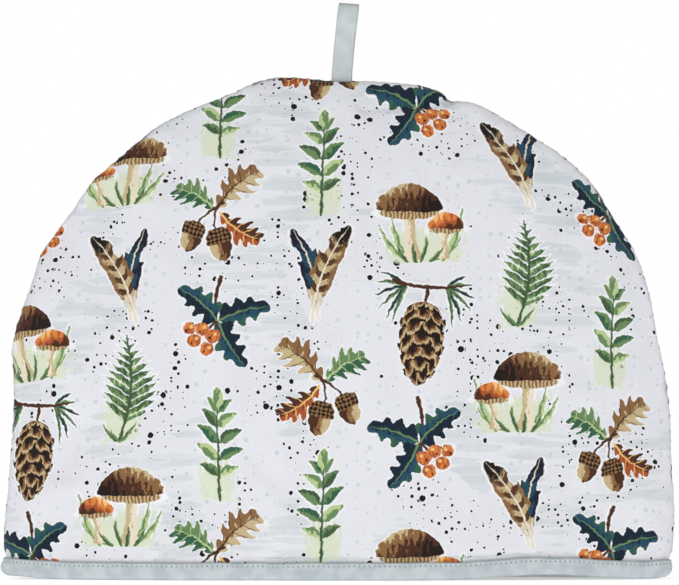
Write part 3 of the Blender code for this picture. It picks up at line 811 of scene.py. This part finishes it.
def panelPlaces():
    # a grid that fills the dome, with straight rows below it for the hem
    half = evenTurns(panel["columns"] // 2)
    across, up = np.meshgrid(np.sin(np.concatenate([-half[:0:-1], half])), np.sin(evenTurns(panel["rows"])))
    discX, discZ = across * np.sqrt(1.0 - up ** 2 / 2), up * np.sqrt(1.0 - across ** 2 / 2)
    scale = archReach(np.arctan2(discZ, discX))
    down = np.linspace(1.0, 0.0, panel["hemRows"] + 1)[:-1, None]
    hemZ = dome["hemBand"] - (dome["hemBand"] - panel["hemFoot"]) * down ** 1.6
    x = np.vstack([np.repeat(discX[:1] * scale[:1], panel["hemRows"], axis=0), discX * scale])
    z = np.vstack([hemZ + 0.0 * x[:panel["hemRows"]], discZ * scale + dome["hemBand"]])
    return x, z, np.vstack([np.repeat(across[:1], panel["hemRows"], axis=0), across])


def flatCloth(x, z):
    # where each place lies on the panel once it is rolled out flat
    rise = np.maximum(z - dome["hemBand"], 0.0)
    angle = np.arctan2(rise, x)
    full = archReach(angle)
    turn = np.arcsin(np.clip(partOfReach(x, z), 0.0, 1.0))
    soft = dome["fullness"]
    depth = dome["hemHalfDepth"] / (1.0 + soft)
    steps, run = 40, np.zeros_like(x)
    for i in range(steps):
        at = turn * (i + 0.5) / steps
        run += np.hypot(full * np.cos(at), depth * np.sin(at) * (1.0 + 3.0 * soft * np.cos(at) ** 2))
    run *= turn / steps
    up = np.where(z < dome["hemBand"], z, dome["hemBand"] + run * np.sin(angle))
    return np.stack([run * np.cos(angle), up], axis=-1)


def seamRun(angle):
    # length of seam up to an angle
    fine = np.linspace(0.0, math.pi, 2000)
    reach = archReach(fine)
    steps = np.hypot(np.diff(reach * np.cos(fine)), np.diff(reach * np.sin(fine)))
    return np.interp(angle, fine, np.concatenate([[0.0], np.cumsum(steps)]))


def seamRelief(x, z, away, side):
    # drawn in at the stitches, swollen beside them, with small gathers
    run = seamRun(np.arctan2(np.maximum(z - dome["hemBand"], 0.0), x))
    wander = 0.9 * softNoise(run, 0.0, 60.0, 11 + side)
    size = 0.65 + 0.5 * softNoise(run, 30.0, 45.0, 21 + side)
    gather = np.sin(2 * math.pi * (run / panel["puckerPitch"] + wander)) * np.clip(size, 0.1, 1.2)
    gather += 0.4 * np.sin(2 * math.pi * (run / panel["finePitch"] + wander))
    gather *= np.exp(-(away / panel["puckerReach"]) ** 1.5) * smoothStep(away, 0.0, 1.6)
    relief = dome["groove"] * fade(away, dome["grooveReach"]) + panel["pucker"] * gather
    return relief - dome["puff"] * fade(away - dome["puffPlace"], dome["puffReach"])


def panelSurfaces(side, creases):
    # the two faces of a padded wall, its cloth laid flat, its columns and its painted shade
    x, z, across = panelPlaces()
    reach = partOfReach(x, z)
    away = bulge(reach)
    top, band = dome["bindingTop"], dome["hemBand"]
    normal = outward(x, z, reach, side)
    flat = flatCloth(x, z)
    swell = smoothStep(z, top, band + dome["hemEase"])
    inset = dome["hemInset"] * (1.0 - smoothStep(z, top, top + panel["footEase"]))
    wall = dome["hemWall"] + (dome["wall"] - dome["hemWall"]) * swell
    relief = creaseDepth(x, z, creases) * smoothStep(z, band, band + dome["hemEase"])
    relief *= 0.25 + 0.75 * smoothStep(away, 0.0, panel["creaseEase"])
    relief += seamRelief(x, z, away, side) * swell
    for share, size, seed in ((1.0, 46.0, 5), (0.3, 17.0, 8)):
        lumps = share * panel["lump"] * softNoise(flat[..., 0], flat[..., 1], size, seed + side)
        relief += lumps * swell * (1.0 - reach ** 8)
    wander = 0.8 * softNoise(flat[..., 0], 0.0, 70.0, 31 + side)
    tucks = np.sin(2 * math.pi * (flat[..., 0] / panel["tuckPitch"] + wander))
    relief += panel["tuck"] * tucks * smoothStep(z, top, band) * fade(z - top, panel["tuckReach"])
    base = np.stack([x, side * (dome["gap"] / 2 + away), z], axis=-1)
    base += normal * (sway(x, z, reach, side) - inset)[..., None]
    outer, inner = base - normal * relief[..., None], base - normal * wall[..., None]
    atLoop, besideLoop = [np.exp(-((x - panel["footX"]) / half) ** 4) * smoothStep(z, *panel["footZ"])
                          for half in (panel["openingHalf"], panel["loopDarkHalf"])]
    stagger = panel["stagger"] * side * atLoop * fade(away, panel["staggerReach"])
    for surface in (outer, inner):
        surface[..., 1] += drift(surface[..., 0], surface[..., 1], surface[..., 2])
        surface[..., 1] += side * panel["loopOpening"] * atLoop * fade(away, panel["openingReach"])
        surface[..., 2] += hemLift(x, z, side) + stagger
    # painted shade: darker along the seam, more beside the loop, and in a band just above the binding
    shade = (panel["seamDark"] + panel["loopDark"] * besideLoop) * fade(away, panel["seamShade"]) * (z > band)
    shade += panel["footDark"] * fade(z - top, panel["footShade"])
    return outer, inner, flat, across, np.clip(shade, 0.0, 0.92)


def gridQuads(rows, columns, flip):
    index = np.arange(rows * columns).reshape(rows, columns)
    quads = np.stack([index[:-1, :-1], index[:-1, 1:], index[1:, 1:], index[1:, :-1]], axis=-1).reshape(-1, 4)
    return quads[:, ::-1] if flip else quads


def averaged(moved, span):
    # mean movement over this many points each way, twice over
    for axis in (0, 1, 0, 1):
        ends = [(0, 0)] * 3
        ends[axis] = (span, span)
        wide = np.cumsum(np.pad(moved, ends, mode="edge"), axis=axis)
        high = np.take(wide, range(2 * span, wide.shape[axis]), axis=axis)
        low = np.take(wide, range(0, wide.shape[axis] - 2 * span), axis=axis)
        moved = (high - low) / (2 * span)
    return moved


def settledCloth(surface, away, height, side):
    # Blender's cloth solver lets the cover wrinkle over its padding; gives how far each point moves
    rows, columns = [np.unique(np.append(np.arange(0, count, settling["every"]), count - 1))
                     for count in surface.shape[:2]]
    start = surface[np.ix_(rows, columns)]
    free = smoothStep(away, 1.0, 1.0 + settling["heldBand"])
    free *= smoothStep(height, dome["bindingTop"], dome["bindingTop"] + settling["heldBand"])
    weights = 1.0 - (1.0 - settling["hold"]) * free[np.ix_(rows, columns)].ravel()
    mesh = bpy.data.meshes.new("settling cover")
    quads = gridQuads(len(rows), len(columns), side > 0)
    mesh.from_pydata((start.reshape(-1, 3) * metre).tolist(), [], quads.tolist())
    cover = bpy.data.objects.new("settling cover", mesh)
    bpy.context.scene.collection.objects.link(cover)
    held = cover.vertex_groups.new(name="held")
    for i, weight in enumerate(weights.tolist()):
        held.add([i], weight, "REPLACE")
    cloth = cover.modifiers.new("cotton", "CLOTH")
    cloth.settings.quality = 6
    cloth.settings.mass = 0.2
    cloth.settings.tension_stiffness = cloth.settings.compression_stiffness = 40.0
    cloth.settings.shear_stiffness = 20.0
    cloth.settings.bending_stiffness = 0.25
    cloth.settings.vertex_group_mass = "held"
    cloth.settings.pin_stiffness = 1.0
    cloth.settings.shrink_min = -settling["spareCloth"]
    cloth.settings.use_pressure = True
    cloth.settings.uniform_pressure_force = settling["pressure"]
    cloth.settings.effector_weights.gravity = 0.0
    cloth.collision_settings.use_collision = False
    cloth.point_cache.frame_start, cloth.point_cache.frame_end = 1, settling["frames"]
    for frameNumber in range(1, settling["frames"] + 1):
        bpy.context.scene.frame_set(frameNumber)
    evaluated = cover.evaluated_get(bpy.context.evaluated_depsgraph_get())
    ends = np.empty(len(mesh.vertices) * 3, dtype=np.float32)
    evaluated.data.vertices.foreach_get("co", ends)
    moved = ends.reshape(start.shape).astype(float) / metre - start
    bpy.data.objects.remove(cover, do_unlink=True)
    bpy.context.scene.frame_set(1)
    print("settled cover: moved %.2f mm on average" % np.linalg.norm(moved, axis=-1).mean())
    moved -= (1.0 - settling["swellKept"]) * averaged(moved, settling["swellSpan"])
    size = np.linalg.norm(moved, axis=-1, keepdims=True) + 1e-9
    moved *= settling["most"] * np.tanh(size / settling["most"]) / size
    print("its wrinkles: %.2f mm on average, %.2f mm at most" % (size.mean(), size.max()))
    # back to every row and column, and smoothed a little
    allRows, allColumns = np.arange(surface.shape[0]), np.arange(surface.shape[1])
    wide = np.apply_along_axis(lambda line: np.interp(allColumns, columns, line), 1, moved)
    full = np.apply_along_axis(lambda line: np.interp(allRows, rows, line), 0, wide)
    for _ in range(2):
        full[1:-1] = (full[:-2] + 2 * full[1:-1] + full[2:]) / 4
        full[:, 1:-1] = (full[:, :-2] + 2 * full[:, 1:-1] + full[:, 2:]) / 4
    return full * free[..., None]


def meshPiece(name, points, faces, materials, maps, faceMaterials=None, shade=None, sharp=55.0):
    # points in millimetres; maps are the corners' places by name; shade is one value a point
    mesh = bpy.data.meshes.new(name)
    mesh.from_pydata((points * metre).tolist(), [], faces)
    for mapName, corners in maps.items():
        mesh.uv_layers.new(name=mapName).data.foreach_set("uv", corners.astype(np.float32).ravel())
    for material in materials:
        mesh.materials.append(material)
    if faceMaterials is not None:
        mesh.polygons.foreach_set("material_index", faceMaterials.astype(np.int32))
    if shade is not None:
        mesh.attributes.new("shade", "FLOAT", "POINT").data.foreach_set("value", shade.astype(np.float32))
    mesh.shade_smooth()
    mesh.set_sharp_from_angle(angle=math.radians(sharp))
    mesh.update()
    piece = bpy.data.objects.new(name, mesh)
    bpy.context.scene.collection.objects.link(piece)
    return piece


def turnFacesOut(piece):
    bpy.context.view_layer.objects.active = piece
    piece.select_set(True)
    bpy.ops.object.mode_set(mode="EDIT")
    bpy.ops.mesh.select_all(action="SELECT")
    bpy.ops.mesh.normals_make_consistent(inside=False)
    bpy.ops.object.mode_set(mode="OBJECT")
    piece.select_set(False)


def motifPerFace(printMap):
    # each face shows the motif whose cell it lies in; gives its place in the drawing and the kind's number
    centres = printMap.mean(axis=1)
    copies = placedMotifs(centres.min(axis=0), centres.max(axis=0))
    nearest, chosen = np.full(len(centres), 1e9), np.zeros(len(centres), dtype=int)
    for i, copy in enumerate(copies):
        distance = np.linalg.norm(inMotif(centres, copy) / motifKinds[copy[0]][1:], axis=1)
        closer = distance < nearest
        nearest[closer], chosen[closer] = distance[closer], i
    motifMap, kinds = np.zeros_like(printMap), np.zeros(len(centres), dtype=int)
    for i, copy in enumerate(copies):
        mine = chosen == i
        motifMap[mine] = inMotif(printMap[mine], copy)
        kinds[mine] = list(motifKinds).index(copy[0])
    return motifMap, kinds


def paddedPanel(name, side, creases, shift, materials):
    outer, inner, flat, across, shade = panelSurfaces(side, creases)
    away = bulge(partOfReach(outer[..., 0], outer[..., 2]))
    outer = outer + settledCloth(outer, away, outer[..., 2], side)
    rows, columns = outer.shape[:2]
    count = rows * columns
    points = np.concatenate([outer.reshape(-1, 3), inner.reshape(-1, 3)])
    front = gridQuads(rows, columns, side > 0)
    back = gridQuads(rows, columns, side < 0) + count
    index = np.arange(count).reshape(rows, columns)
    rim = np.concatenate([index[0], index[1:-1, -1], index[-1][::-1], index[1:-1, 0][::-1]])
    following = np.roll(rim, -1)
    edge = np.stack([rim, rim + count, following + count, following], axis=-1)[:, ::-side]
    faces = np.concatenate([front, back, edge])

    # the print runs the right way round on both panels
    cloth = (flat * (-side, 1.0) + shift).reshape(-1, 2)
    printMap = np.concatenate([cloth, cloth])[faces]
    motifMap, kinds = motifPerFace(printMap)
    kinds[len(front):len(front) + len(back)] = len(motifKinds)

    # bake map: the printed face fills most of it, with the rim and then the lining below
    margin = bakeBands["margin"]
    wide, tall = margin + (0.5 - margin) * (across + 1.0), np.linspace(0.0, 1.0, rows)[:, None]
    bands = []
    for low, high in (bakeBands["printed"], bakeBands["lining"]):
        places = np.broadcast_arrays(wide, low + (high - low) * tall)
        bands.append(np.stack(places, axis=-1).reshape(-1, 2))
    bake = np.concatenate(bands)[faces]
    low, high = bakeBands["rim"]
    corners = [np.stack([(np.arange(len(edge)) + on) / len(edge), np.full(len(edge), up)], axis=-1)
               for on, up in ((0, high), (0, low), (1, low), (1, high))]
    bake[len(front) + len(back):] = np.stack(corners[::-side], axis=1)
    maps = {"PrintMap": printMap, "MotifMap": motifMap, "OFBake": bake}
    shades = np.concatenate([shade.ravel(), np.zeros(count)])
    return meshPiece(name, points, faces.tolist(), materials, maps, kinds, shades)


printMaterials = [printedCotton("printed cotton, " + kind, motifKinds[kind][0]) for kind in motifKinds]
printMaterials.append(liningCotton())
print("materials: printed cotton and lining")

printedFront = paddedPanel("printed_front", -1, frontCreases, printPlan["frontShift"], printMaterials)
printedBack = paddedPanel("printed_back", 1, backCreases, printPlan["backShift"], printMaterials)
for piece, node in ((printedFront, "panel_front"), (printedBack, "panel_back")):
    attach(piece, "root")
    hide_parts(node)
print("padded panels:", len(printedFront.data.polygons), "faces each")

binding = {
    "cloth": 1.0,
    "stripWidth": 26.0,     # the strip laid flat
    "stations": 560,
    "puff": 0.5,
    "puffMiddle": 4.6,
    "puffHalf": 4.0,
    "heel": 2.2,           # rounding of its lower outer edge
    "innerHeel": 1.6,
    "stitchHeight": 7.5,
    "stitchPitch": 2.6,
    "stitchDip": 0.34,
    "stitchLength": 2.1,
    "stitchRadius": 0.21,
    "joinX": 92.0,
    "joinLap": 15.0,
    "joinRise": 0.45,
    "cornerReach": 13.0,    # the lower corners are round over this length of each end
    "cornerLeft": 1.3,
    "cornerRight": 2.6,
    "cornerUp": 5.0,
    "seamBulk": 1.2,        # the strip stands out over the thick seam at the left end
    "outsideGirth": 11.5,   # the outside leg ends before this, measured from under its heel
    # heights on the tape of the painted shade at its top edge and along its foot
    "topPaintedShade": (9.3, 10.0),
    "footPaintedShade": (1.9, 0.7),
    "look": {"mottle": 0.12, "spread": (0.35, 0.65), "dull": "#B9C3C8", "bright": "#CDD4D7",
             "gaps": "#A7B3B7", "gapShare": 0.3},
}
outerLeg = -dome["hemInset"] + dome["gap"] + binding["cloth"]
innerLeg = -dome["hemInset"] - dome["hemWall"] - dome["gap"] - binding["cloth"]


def hemLine(angle):
    # the panels' outer line at the hem with its normals, round from the left end by the front
    across = -np.cos(angle)
    side = np.where(np.sin(angle) >= 0.0, -1.0, 1.0)
    x = across * np.where(across > 0.0, archReaches[0], archReaches[-1])
    z, reach = np.full_like(x, dome["hemBand"]), np.abs(across)
    normal = outward(x, z, reach, side) * (1.0, 1.0, 0.0)
    normal /= np.linalg.norm(normal, axis=1, keepdims=True)
    y = np.where(np.abs(np.sin(angle)) < 1e-9, 0.0, side * (dome["gap"] / 2 + bulge(reach)))
    points = np.stack([x, y, 0.0 * x], axis=-1) + normal * sway(x, z, reach, side)[:, None]
    return points, normal, hemLift(x, 0.0 * x, side)


hemAngles = np.linspace(0.0, 2 * math.pi, 6001)
hemPoints = hemLine(hemAngles)[0]
hemRun = np.concatenate([[0.0], np.cumsum(np.linalg.norm(np.diff(hemPoints, axis=0), axis=1))])
hemLength = hemRun[-1]
halfWay = len(hemAngles) // 2
joinRun = np.interp(binding["joinX"], hemPoints[:halfWay, 0], hemRun[:halfWay])
stitchCount = round(hemLength / binding["stitchPitch"])
stitchSpacing = hemLength / stitchCount
# the stitch line's place on the tape, from under the heel round it and then straight up
stitchGirth = binding["heel"] * math.radians(82.0) + binding["stitchHeight"] - binding["heel"]
print("hem: %.0f mm round" % hemLength)


def hemAt(run):
    # point, outward normal and lift of the hem line at a distance along it
    return hemLine(np.interp(np.mod(run, hemLength), hemRun, hemAngles))


def nearEnd(x):
    return smoothStep(x, dome["halfWidth"] - binding["cornerReach"], dome["halfWidth"])


def cornerPull(x, up):
    # how far the foot of the binding is drawn in at its left and right ends
    most = np.where(x < 0.0, binding["cornerLeft"], binding["cornerRight"])
    return most * nearEnd(np.abs(x)) * np.clip(1.0 - up / binding["cornerUp"], 0.0, 1.0) ** 2


def hemBulk(x, up):
    # the thick seam inside the left end, most near the foot
    return binding["seamBulk"] * nearEnd(-x) * (1.0 - 0.7 * smoothStep(up, 4.5, dome["bindingTop"]))


def legBulge(up):
    share = (up - binding["puffMiddle"]) / binding["puffHalf"]
    return binding["puff"] * np.clip(1.0 - share ** 2, 0.0, 1.0)


def arc(centreOut, centreUp, radius, start, end, count):
    turn = np.radians(np.linspace(start, end, count))
    return [(centreOut + radius * math.cos(t), centreUp + radius * math.sin(t)) for t in turn]


def bindingSection():
    # the folded cloth: distance out from the hem line, height, 1 on the outside leg and -1 inside
    heel, inner, top, half = binding["heel"], binding["innerHeel"], dome["bindingTop"], binding["cloth"] / 2
    outside = arc(outerLeg - heel, heel, heel, -90, -8, 7)
    outside += [(outerLeg, up) for up in np.linspace(heel, top - half, 15)]
    outside += arc(outerLeg - half, top - half, half, 20, 160, 5)
    fold = [(outerLeg - 2 * half, up) for up in (top - half, 4.0, 1.2)]
    fold += [(innerLeg + 2 * half, up) for up in (1.2, 4.0, top - half)]
    inside = arc(innerLeg + half, top - half, half, 20, 160, 5)
    inside += [(innerLeg, up) for up in np.linspace(top - half, inner, 13)]
    inside += arc(innerLeg + inner, inner, inner, 188, 270, 5)
    return [(out, up, leg) for leg, part in ((1, outside), (0, fold), (-1, inside)) for out, up in part]


def boundHem(material):
    section = bindingSection()
    run = np.linspace(0.0, hemLength, binding["stations"] + 1)[:-1]
    line, normal, lift = hemAt(run)
    sinceJoin = run - joinRun
    lap = smoothStep(sinceJoin, -0.3, 0.3) * (1.0 - smoothStep(sinceJoin, 4.0, binding["joinLap"]))
    edgeWave = 0.22 * softNoise(run, 0.0, 26.0, 61)
    pull = 0.7 + 0.3 * np.cos(2 * math.pi * run / stitchSpacing)
    rings = []
    for out, up, leg in section:
        press = binding["stitchDip"] * fade(up - binding["stitchHeight"], 0.55) * pull
        dent = 0.2 * softNoise(run, 2.5 * up, 15.0, 64 + leg) * smoothStep(up, 0.5, 3.0)
        bulk = hemBulk(line[:, 0], up) * (leg > 0)
        swell = legBulge(up) - press + dent + binding["joinRise"] * lap + bulk
        ring = line + normal * (out + leg * swell)[:, None]
        ring[:, 0] -= np.sign(ring[:, 0]) * cornerPull(ring[:, 0], up)
        ring[:, 2] = up + edgeWave * smoothStep(up, 5.0, 9.0) + lift
        rings.append(ring)
    points = np.stack(rings, axis=1)
    stations, turns = points.shape[:2]
    index = np.arange(stations * turns).reshape(stations, turns)
    ahead = np.roll(index, -1, axis=0)
    faces = np.stack([index, ahead, np.roll(ahead, -1, axis=1), np.roll(index, -1, axis=1)], axis=-1)
    folded = np.array(section)[:, :2]
    steps = np.linalg.norm(np.diff(folded, axis=0, append=folded[:1]), axis=1)
    girth = np.concatenate([[0.0], np.cumsum(steps)])
    here, there = run[:, None], run[:, None] + hemLength / stations
    corners = ((here, girth[:-1]), (there, girth[:-1]), (there, girth[1:]), (here, girth[1:]))
    tape = np.stack([np.stack(np.broadcast_arrays(*pair), axis=-1) for pair in corners], axis=2)
    return meshPiece("bound_hem", points.reshape(-1, 3), faces.reshape(-1, 4).tolist(), [material],
                     {"TapeMap": tape})


def bindingCotton():
    # piece-dyed grey-blue cotton cut on the bias, so its weave runs slantwise; paler where it is worn
    material, tree = newMaterial("grey-blue cotton bias binding")
    place, height, mottle, colour = plainCloth(tree, "TapeMap", binding["look"], slant=45)
    # painted shade along the top edge and along the foot, and a needle hole at both ends of each stitch
    along, up = addNode(tree, "SeparateXYZ", place, give=None).outputs[:2]
    paintedShadeAndHoles = addNode(tree, "MapRange", up, *binding["topPaintedShade"], 0.0, 0.34)
    paintedShadeAndHoles = addNode(tree, "Math MAXIMUM", paintedShadeAndHoles, addNode(tree, "MapRange", up, *binding["footPaintedShade"], 0.0, 0.3))
    inside = addNode(tree, "Math LESS_THAN", up, binding["outsideGirth"])
    paintedShadeAndHoles = addNode(tree, "Math MULTIPLY", paintedShadeAndHoles, inside)
    hole = addNode(tree, "Math PINGPONG", along, stitchSpacing / 2)
    above = addNode(tree, "Math ADD", up, -stitchGirth)
    hole = addNode(tree, "VectorMath LENGTH", addNode(tree, "CombineXYZ", hole, above), give=1)
    hole = addNode(tree, "MapRange", hole, 0.62, 0.3, 0.0, 0.62)
    worn = addNode(tree, "MapRange", mottle, 0.42, 0.58, 0.55, 0.95)     # some holes have nearly closed
    paintedShadeAndHoles = addNode(tree, "Math MAXIMUM", paintedShadeAndHoles, addNode(tree, "Math MULTIPLY", hole, worn))
    colour = addNode(tree, "Mix RGBA", {0: paintedShadeAndHoles, 6: colour, 7: "#4C555A"}, give=2)
    finishCloth(tree, colour, height, 0.82, 0.1, 0.8)
    return material


def stitchThread():
    # spun polyester sewing thread: a soft sheen and slightly uneven
    material, tree = newMaterial("spun sewing thread")
    shine = addNode(tree, "TexNoise", {0: addNode(tree, "TexCoord", give=3), 2: 900.0, 3: 1.0})
    colour = toned(tree, "#D8E1E2", (shine, 0.3, 0.7, "#E9F0F0"))
    shader = addNode(tree, "BsdfPrincipled", {"Base Color": colour, "Roughness": 0.6, "Sheen Weight": 0.1})
    addNode(tree, "OutputMaterial", shader, give=None)
    return material


def oneStitch():
    # modelled once: a short thick thread that dives into the cloth at both ends
    length = binding["stitchLength"]
    bpy.ops.mesh.primitive_cylinder_add(vertices=6, radius=binding["stitchRadius"], depth=length,
                                        rotation=(0, math.radians(90), 0))
    stitch = bpy.context.object
    bpy.ops.object.transform_apply(rotation=True)
    bpy.ops.object.mode_set(mode="EDIT")
    bpy.ops.mesh.select_all(action="SELECT")
    bpy.ops.mesh.subdivide(number_cuts=1)
    for cut in (-0.75, -0.3, 0.3, 0.75):
        bpy.ops.mesh.select_all(action="SELECT")
        bpy.ops.mesh.bisect(plane_co=(cut, 0, 0), plane_no=(1, 0, 0))
    bpy.ops.object.mode_set(mode="OBJECT")
    points = np.array([tuple(v.co) for v in stitch.data.vertices])
    faces = [tuple(p.vertices) for p in stitch.data.polygons]
    bpy.data.objects.remove(stitch, do_unlink=True)
    dive = np.abs(2 * points[:, 0] / length)
    points[:, 1:] *= (1.0 - 0.35 * dive ** 2)[:, None]
    points[:, 1] -= 0.34 * dive ** 3       # Y of the stitch points out of the cloth
    return points, faces


def hemStitches(material):
    shape, shapeFaces = oneStitch()
    dice = np.random.default_rng(7)
    legs = []
    for leg, surface in ((1, outerLeg), (-1, innerLeg)):
        run = (np.arange(stitchCount) + 0.5) * stitchSpacing + dice.normal(0.0, 0.06, stitchCount)
        up = binding["stitchHeight"] + 0.12 * softNoise(run, 0.0, 40.0, 71)
        up += dice.normal(0.0, 0.04, stitchCount)
        tilt = dice.normal(0.0, 0.05, stitchCount)
        out = surface + leg * (legBulge(up) - binding["stitchDip"] + 0.16)
        out += hemBulk(hemAt(run)[0][:, 0], up) * (leg > 0)
        line, normal, lift = hemAt((run[:, None] + shape[:, 0]).ravel())
        made = line + normal * (out[:, None] + leg * shape[:, 1]).reshape(-1, 1)
        made[:, 2] = (up[:, None] + shape[:, 2] + tilt[:, None] * shape[:, 0]).ravel() + lift
        legs.append(made)
    faces = [tuple(len(shape) * i + v for v in face) for i in range(2 * stitchCount) for face in shapeFaces]
    piece = meshPiece("hem_stitches", np.concatenate(legs), faces, [material], {}, sharp=180.0)
    turnFacesOut(piece)
    return piece


hemPiece = boundHem(bindingCotton())
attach(hemPiece, "root")
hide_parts("hem_binding")
stitchPiece = hemStitches(stitchThread())
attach(stitchPiece, "root")
print("binding and its stitches:", len(stitchPiece.data.polygons), "faces in the thread")

loop = {
    "width": 10.5,
    "cloth": 1.2,
    "top": 295.2,
    "foot": 4.0,           # the legs lie together over this height above the seam
    "gape": 9.0,
    "crown": 9.5,
    "bottomX": 1.45,
    "lean": 3.8,
    "slant": 5.5,          # degrees that its top fold falls to the right
    "seamTop": 255.65,
    "inSeam": 5.0,         # how far the ends run down between the panels
    "legSteps": 46,
    "topSteps": 30,
    "acrossSteps": 20,
    "look": {"mottle": 0.16, "spread": (0.3, 0.7), "dull": "#C3CBCD", "bright": "#CFD6D7",
             "gaps": "#ADB7B9", "gapShare": 0.25},
}


def loopLine():
    # the tape's middle line from the front end over the top to the back end
    top = loop["top"] - loop["cloth"] / 2
    shoulder = top - loop["crown"]
    together, widest = (loop["cloth"] + dome["gap"]) / 2, (loop["cloth"] + loop["gape"]) / 2
    rise = np.linspace(loop["seamTop"] - loop["inSeam"], shoulder, loop["legSteps"] + 1)
    spread = together + (widest - together) * smoothStep(rise, loop["seamTop"] + loop["foot"], shoulder)
    turn = np.linspace(0.0, math.pi, loop["topSteps"] + 1)[1:-1]
    y = np.concatenate([-spread, -widest * np.cos(turn), spread[::-1]])
    z = np.concatenate([rise, shoulder + (top - shoulder) * np.sin(turn), rise[::-1]])
    return y, z


def tapeLoop(material):
    y, z = loopLine()
    along = np.stack([np.gradient(y), np.gradient(z)], axis=-1)
    along /= np.linalg.norm(along, axis=1, keepdims=True)
    run = np.concatenate([[0.0], np.cumsum(np.hypot(np.diff(y), np.diff(z)))])
    rise = np.clip((z - loop["seamTop"]) / (loop["top"] - loop["seamTop"]), 0.0, 1.0)
    middle = loop["bottomX"] + loop["lean"] * rise ** 1.3
    slant = math.tan(math.radians(loop["slant"])) * rise
    half = np.linspace(-1.0, 1.0, loop["acrossSteps"] + 1)
    half *= 1.5 - 0.5 * half ** 2      # closer steps at the two edges
    width = loop["width"] / 2 * (1.0 + 0.012 * softNoise(run, 0.0, 16.0, 85))
    # painted shade across the top fold
    foldShade = 0.6 * fade(run - run[-1] / 2, 2.2)
    rings, shades = [], []
    for layer, order in ((1.0, half), (-1.0, half[::-1])):
        for share in order:
            # soft edges, the turned-in edges a little thicker, and wrinkles at the foot
            thick = loop["cloth"] / 2 * (1.0 - 0.75 * abs(share) ** 14)
            thick += 0.10 * fade(abs(share) - 0.86, 0.10) - 0.16 * fade(abs(share) - 0.68, 0.05)
            wrinkle = 0.16 * softNoise(run, share * 9.0, 9.0, 83) * (1.0 - rise) ** 3
            ripple = 0.10 * softNoise(run, share * 5.0, 17.0, 84)
            offset = layer * thick + wrinkle + ripple
            rings.append(np.stack([middle + share * width, y - along[:, 1] * offset,
                                   z + along[:, 0] * offset - slant * share * width], axis=-1))
            # painted shade along both edges, darker on the right
            edgeShade = 0.44 * fade(1.0 - share, 0.1) + 0.16 * fade(1.0 + share, 0.1)
            shades.append(np.maximum(edgeShade, foldShade))
    points = np.stack(rings, axis=1)
    stations, turns = points.shape[:2]
    index = np.arange(stations * turns).reshape(stations, turns)
    beside = np.roll(index, -1, axis=1)
    quads = np.stack([index[:-1], beside[:-1], beside[1:], index[1:]], axis=-1).reshape(-1, 4)
    faces = quads.tolist() + [index[0][::-1].tolist(), index[-1].tolist()]
    girth = np.concatenate([half, half[::-1] + 2.2]) * loop["width"] / 2
    flat = np.stack(np.broadcast_arrays(run[:, None], girth[None, :]), axis=-1).reshape(-1, 2)
    corners = np.array([flat[v] for face in faces for v in face])
    piece = meshPiece("tape_loop", points.reshape(-1, 3), faces, [material], {"TapeMap": corners},
                      shade=np.stack(shades, axis=1).ravel(), sharp=60.0)
    turnFacesOut(piece)
    return piece, run[-1]


def tapeCotton():
    # the same cloth as the binding, folded in four and pressed, weave along its length
    material, tree = newMaterial("grey-blue cotton tape")
    _, height, _, colour = plainCloth(tree, "TapeMap", loop["look"])
    # painted shade on the tape's edges and top fold, from the shade attribute
    paintedShade = addNode(tree, "Attribute", give=2, attribute_name="shade")
    colour = addNode(tree, "Mix RGBA", {0: paintedShade, 6: colour, 7: "#5A6265"}, give=2)
    finishCloth(tree, colour, height, 0.82, 0.1, 0.7)
    return material


loopPiece, loopLength = tapeLoop(tapeCotton())
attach(loopPiece, "root")
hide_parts("hanging_loop")
print("tape loop: %.0f mm long" % loopLength)

studio = {
    # metres
    "floorSize": 6.0,
    "skyLight": 0.66,
    "skySeen": 1.0,
    "keyWatts": 16.5,
    "keySize": 1.6,
    "keyPlace": (-0.5, -2.6, 0.45),
    "lit": (0.0, 0.0, 0.13),
    "cameraAway": 7.0,
    "aimX": 0.0003,
    "aimZ": 0.1468,
    "frameWidth": 0.3484,   # seen across the picture at the seam
}


def paleFloor():
    bpy.ops.mesh.primitive_plane_add(size=studio["floorSize"])
    floor = bpy.context.object
    floor.name = "studio_floor"
    material, tree = newMaterial("white acrylic sheet, lit from below")
    shader = addNode(tree, "BsdfPrincipled", {"Base Color": "#F4F4F4", "Roughness": 0.7,
                     "Emission Color": "#FFFFFF", "Emission Strength": 0.4})
    addNode(tree, "OutputMaterial", shader, give=None)
    floor.data.materials.append(material)
    floor.select_set(False)
    return floor


def keyLight():
    # a large soft lamp in front, turned to the cosy
    lamp = bpy.data.lights.new("key light", "AREA")
    lamp.energy, lamp.size = studio["keyWatts"], studio["keySize"]
    holder = bpy.data.objects.new("key light", lamp)
    holder.location = studio["keyPlace"]
    x, y, z = np.subtract(studio["lit"], studio["keyPlace"])
    holder.rotation_euler = (math.atan2(math.hypot(x, y), -z), 0.0, math.atan2(-x, y))
    bpy.context.scene.collection.objects.link(holder)


def whiteSky():
    world = bpy.data.worlds.new("white studio")
    world.use_nodes = True
    tree = world.node_tree
    tree.nodes.clear()
    strength = addNode(tree, "Mix", {0: addNode(tree, "LightPath"), 2: studio["skyLight"],
                                     3: studio["skySeen"]})
    sky = addNode(tree, "Background", (1.0, 1.0, 1.0, 1.0), strength)
    addNode(tree, "OutputWorld", sky, give=None)
    bpy.context.scene.world = world


paleFloor()
whiteSky()
keyLight()

camera = bpy.data.objects.new("camera", bpy.data.cameras.new("camera"))
camera.data.sensor_width = 36.0
camera.data.lens = camera.data.sensor_width * studio["cameraAway"] / studio["frameWidth"]
camera.location = (studio["aimX"], -studio["cameraAway"], studio["aimZ"])
camera.rotation_euler = (math.radians(90.0), 0.0, 0.0)
bpy.context.scene.collection.objects.link(camera)
bpy.context.scene.camera = camera
bpy.context.scene.view_settings.view_transform = "Standard"
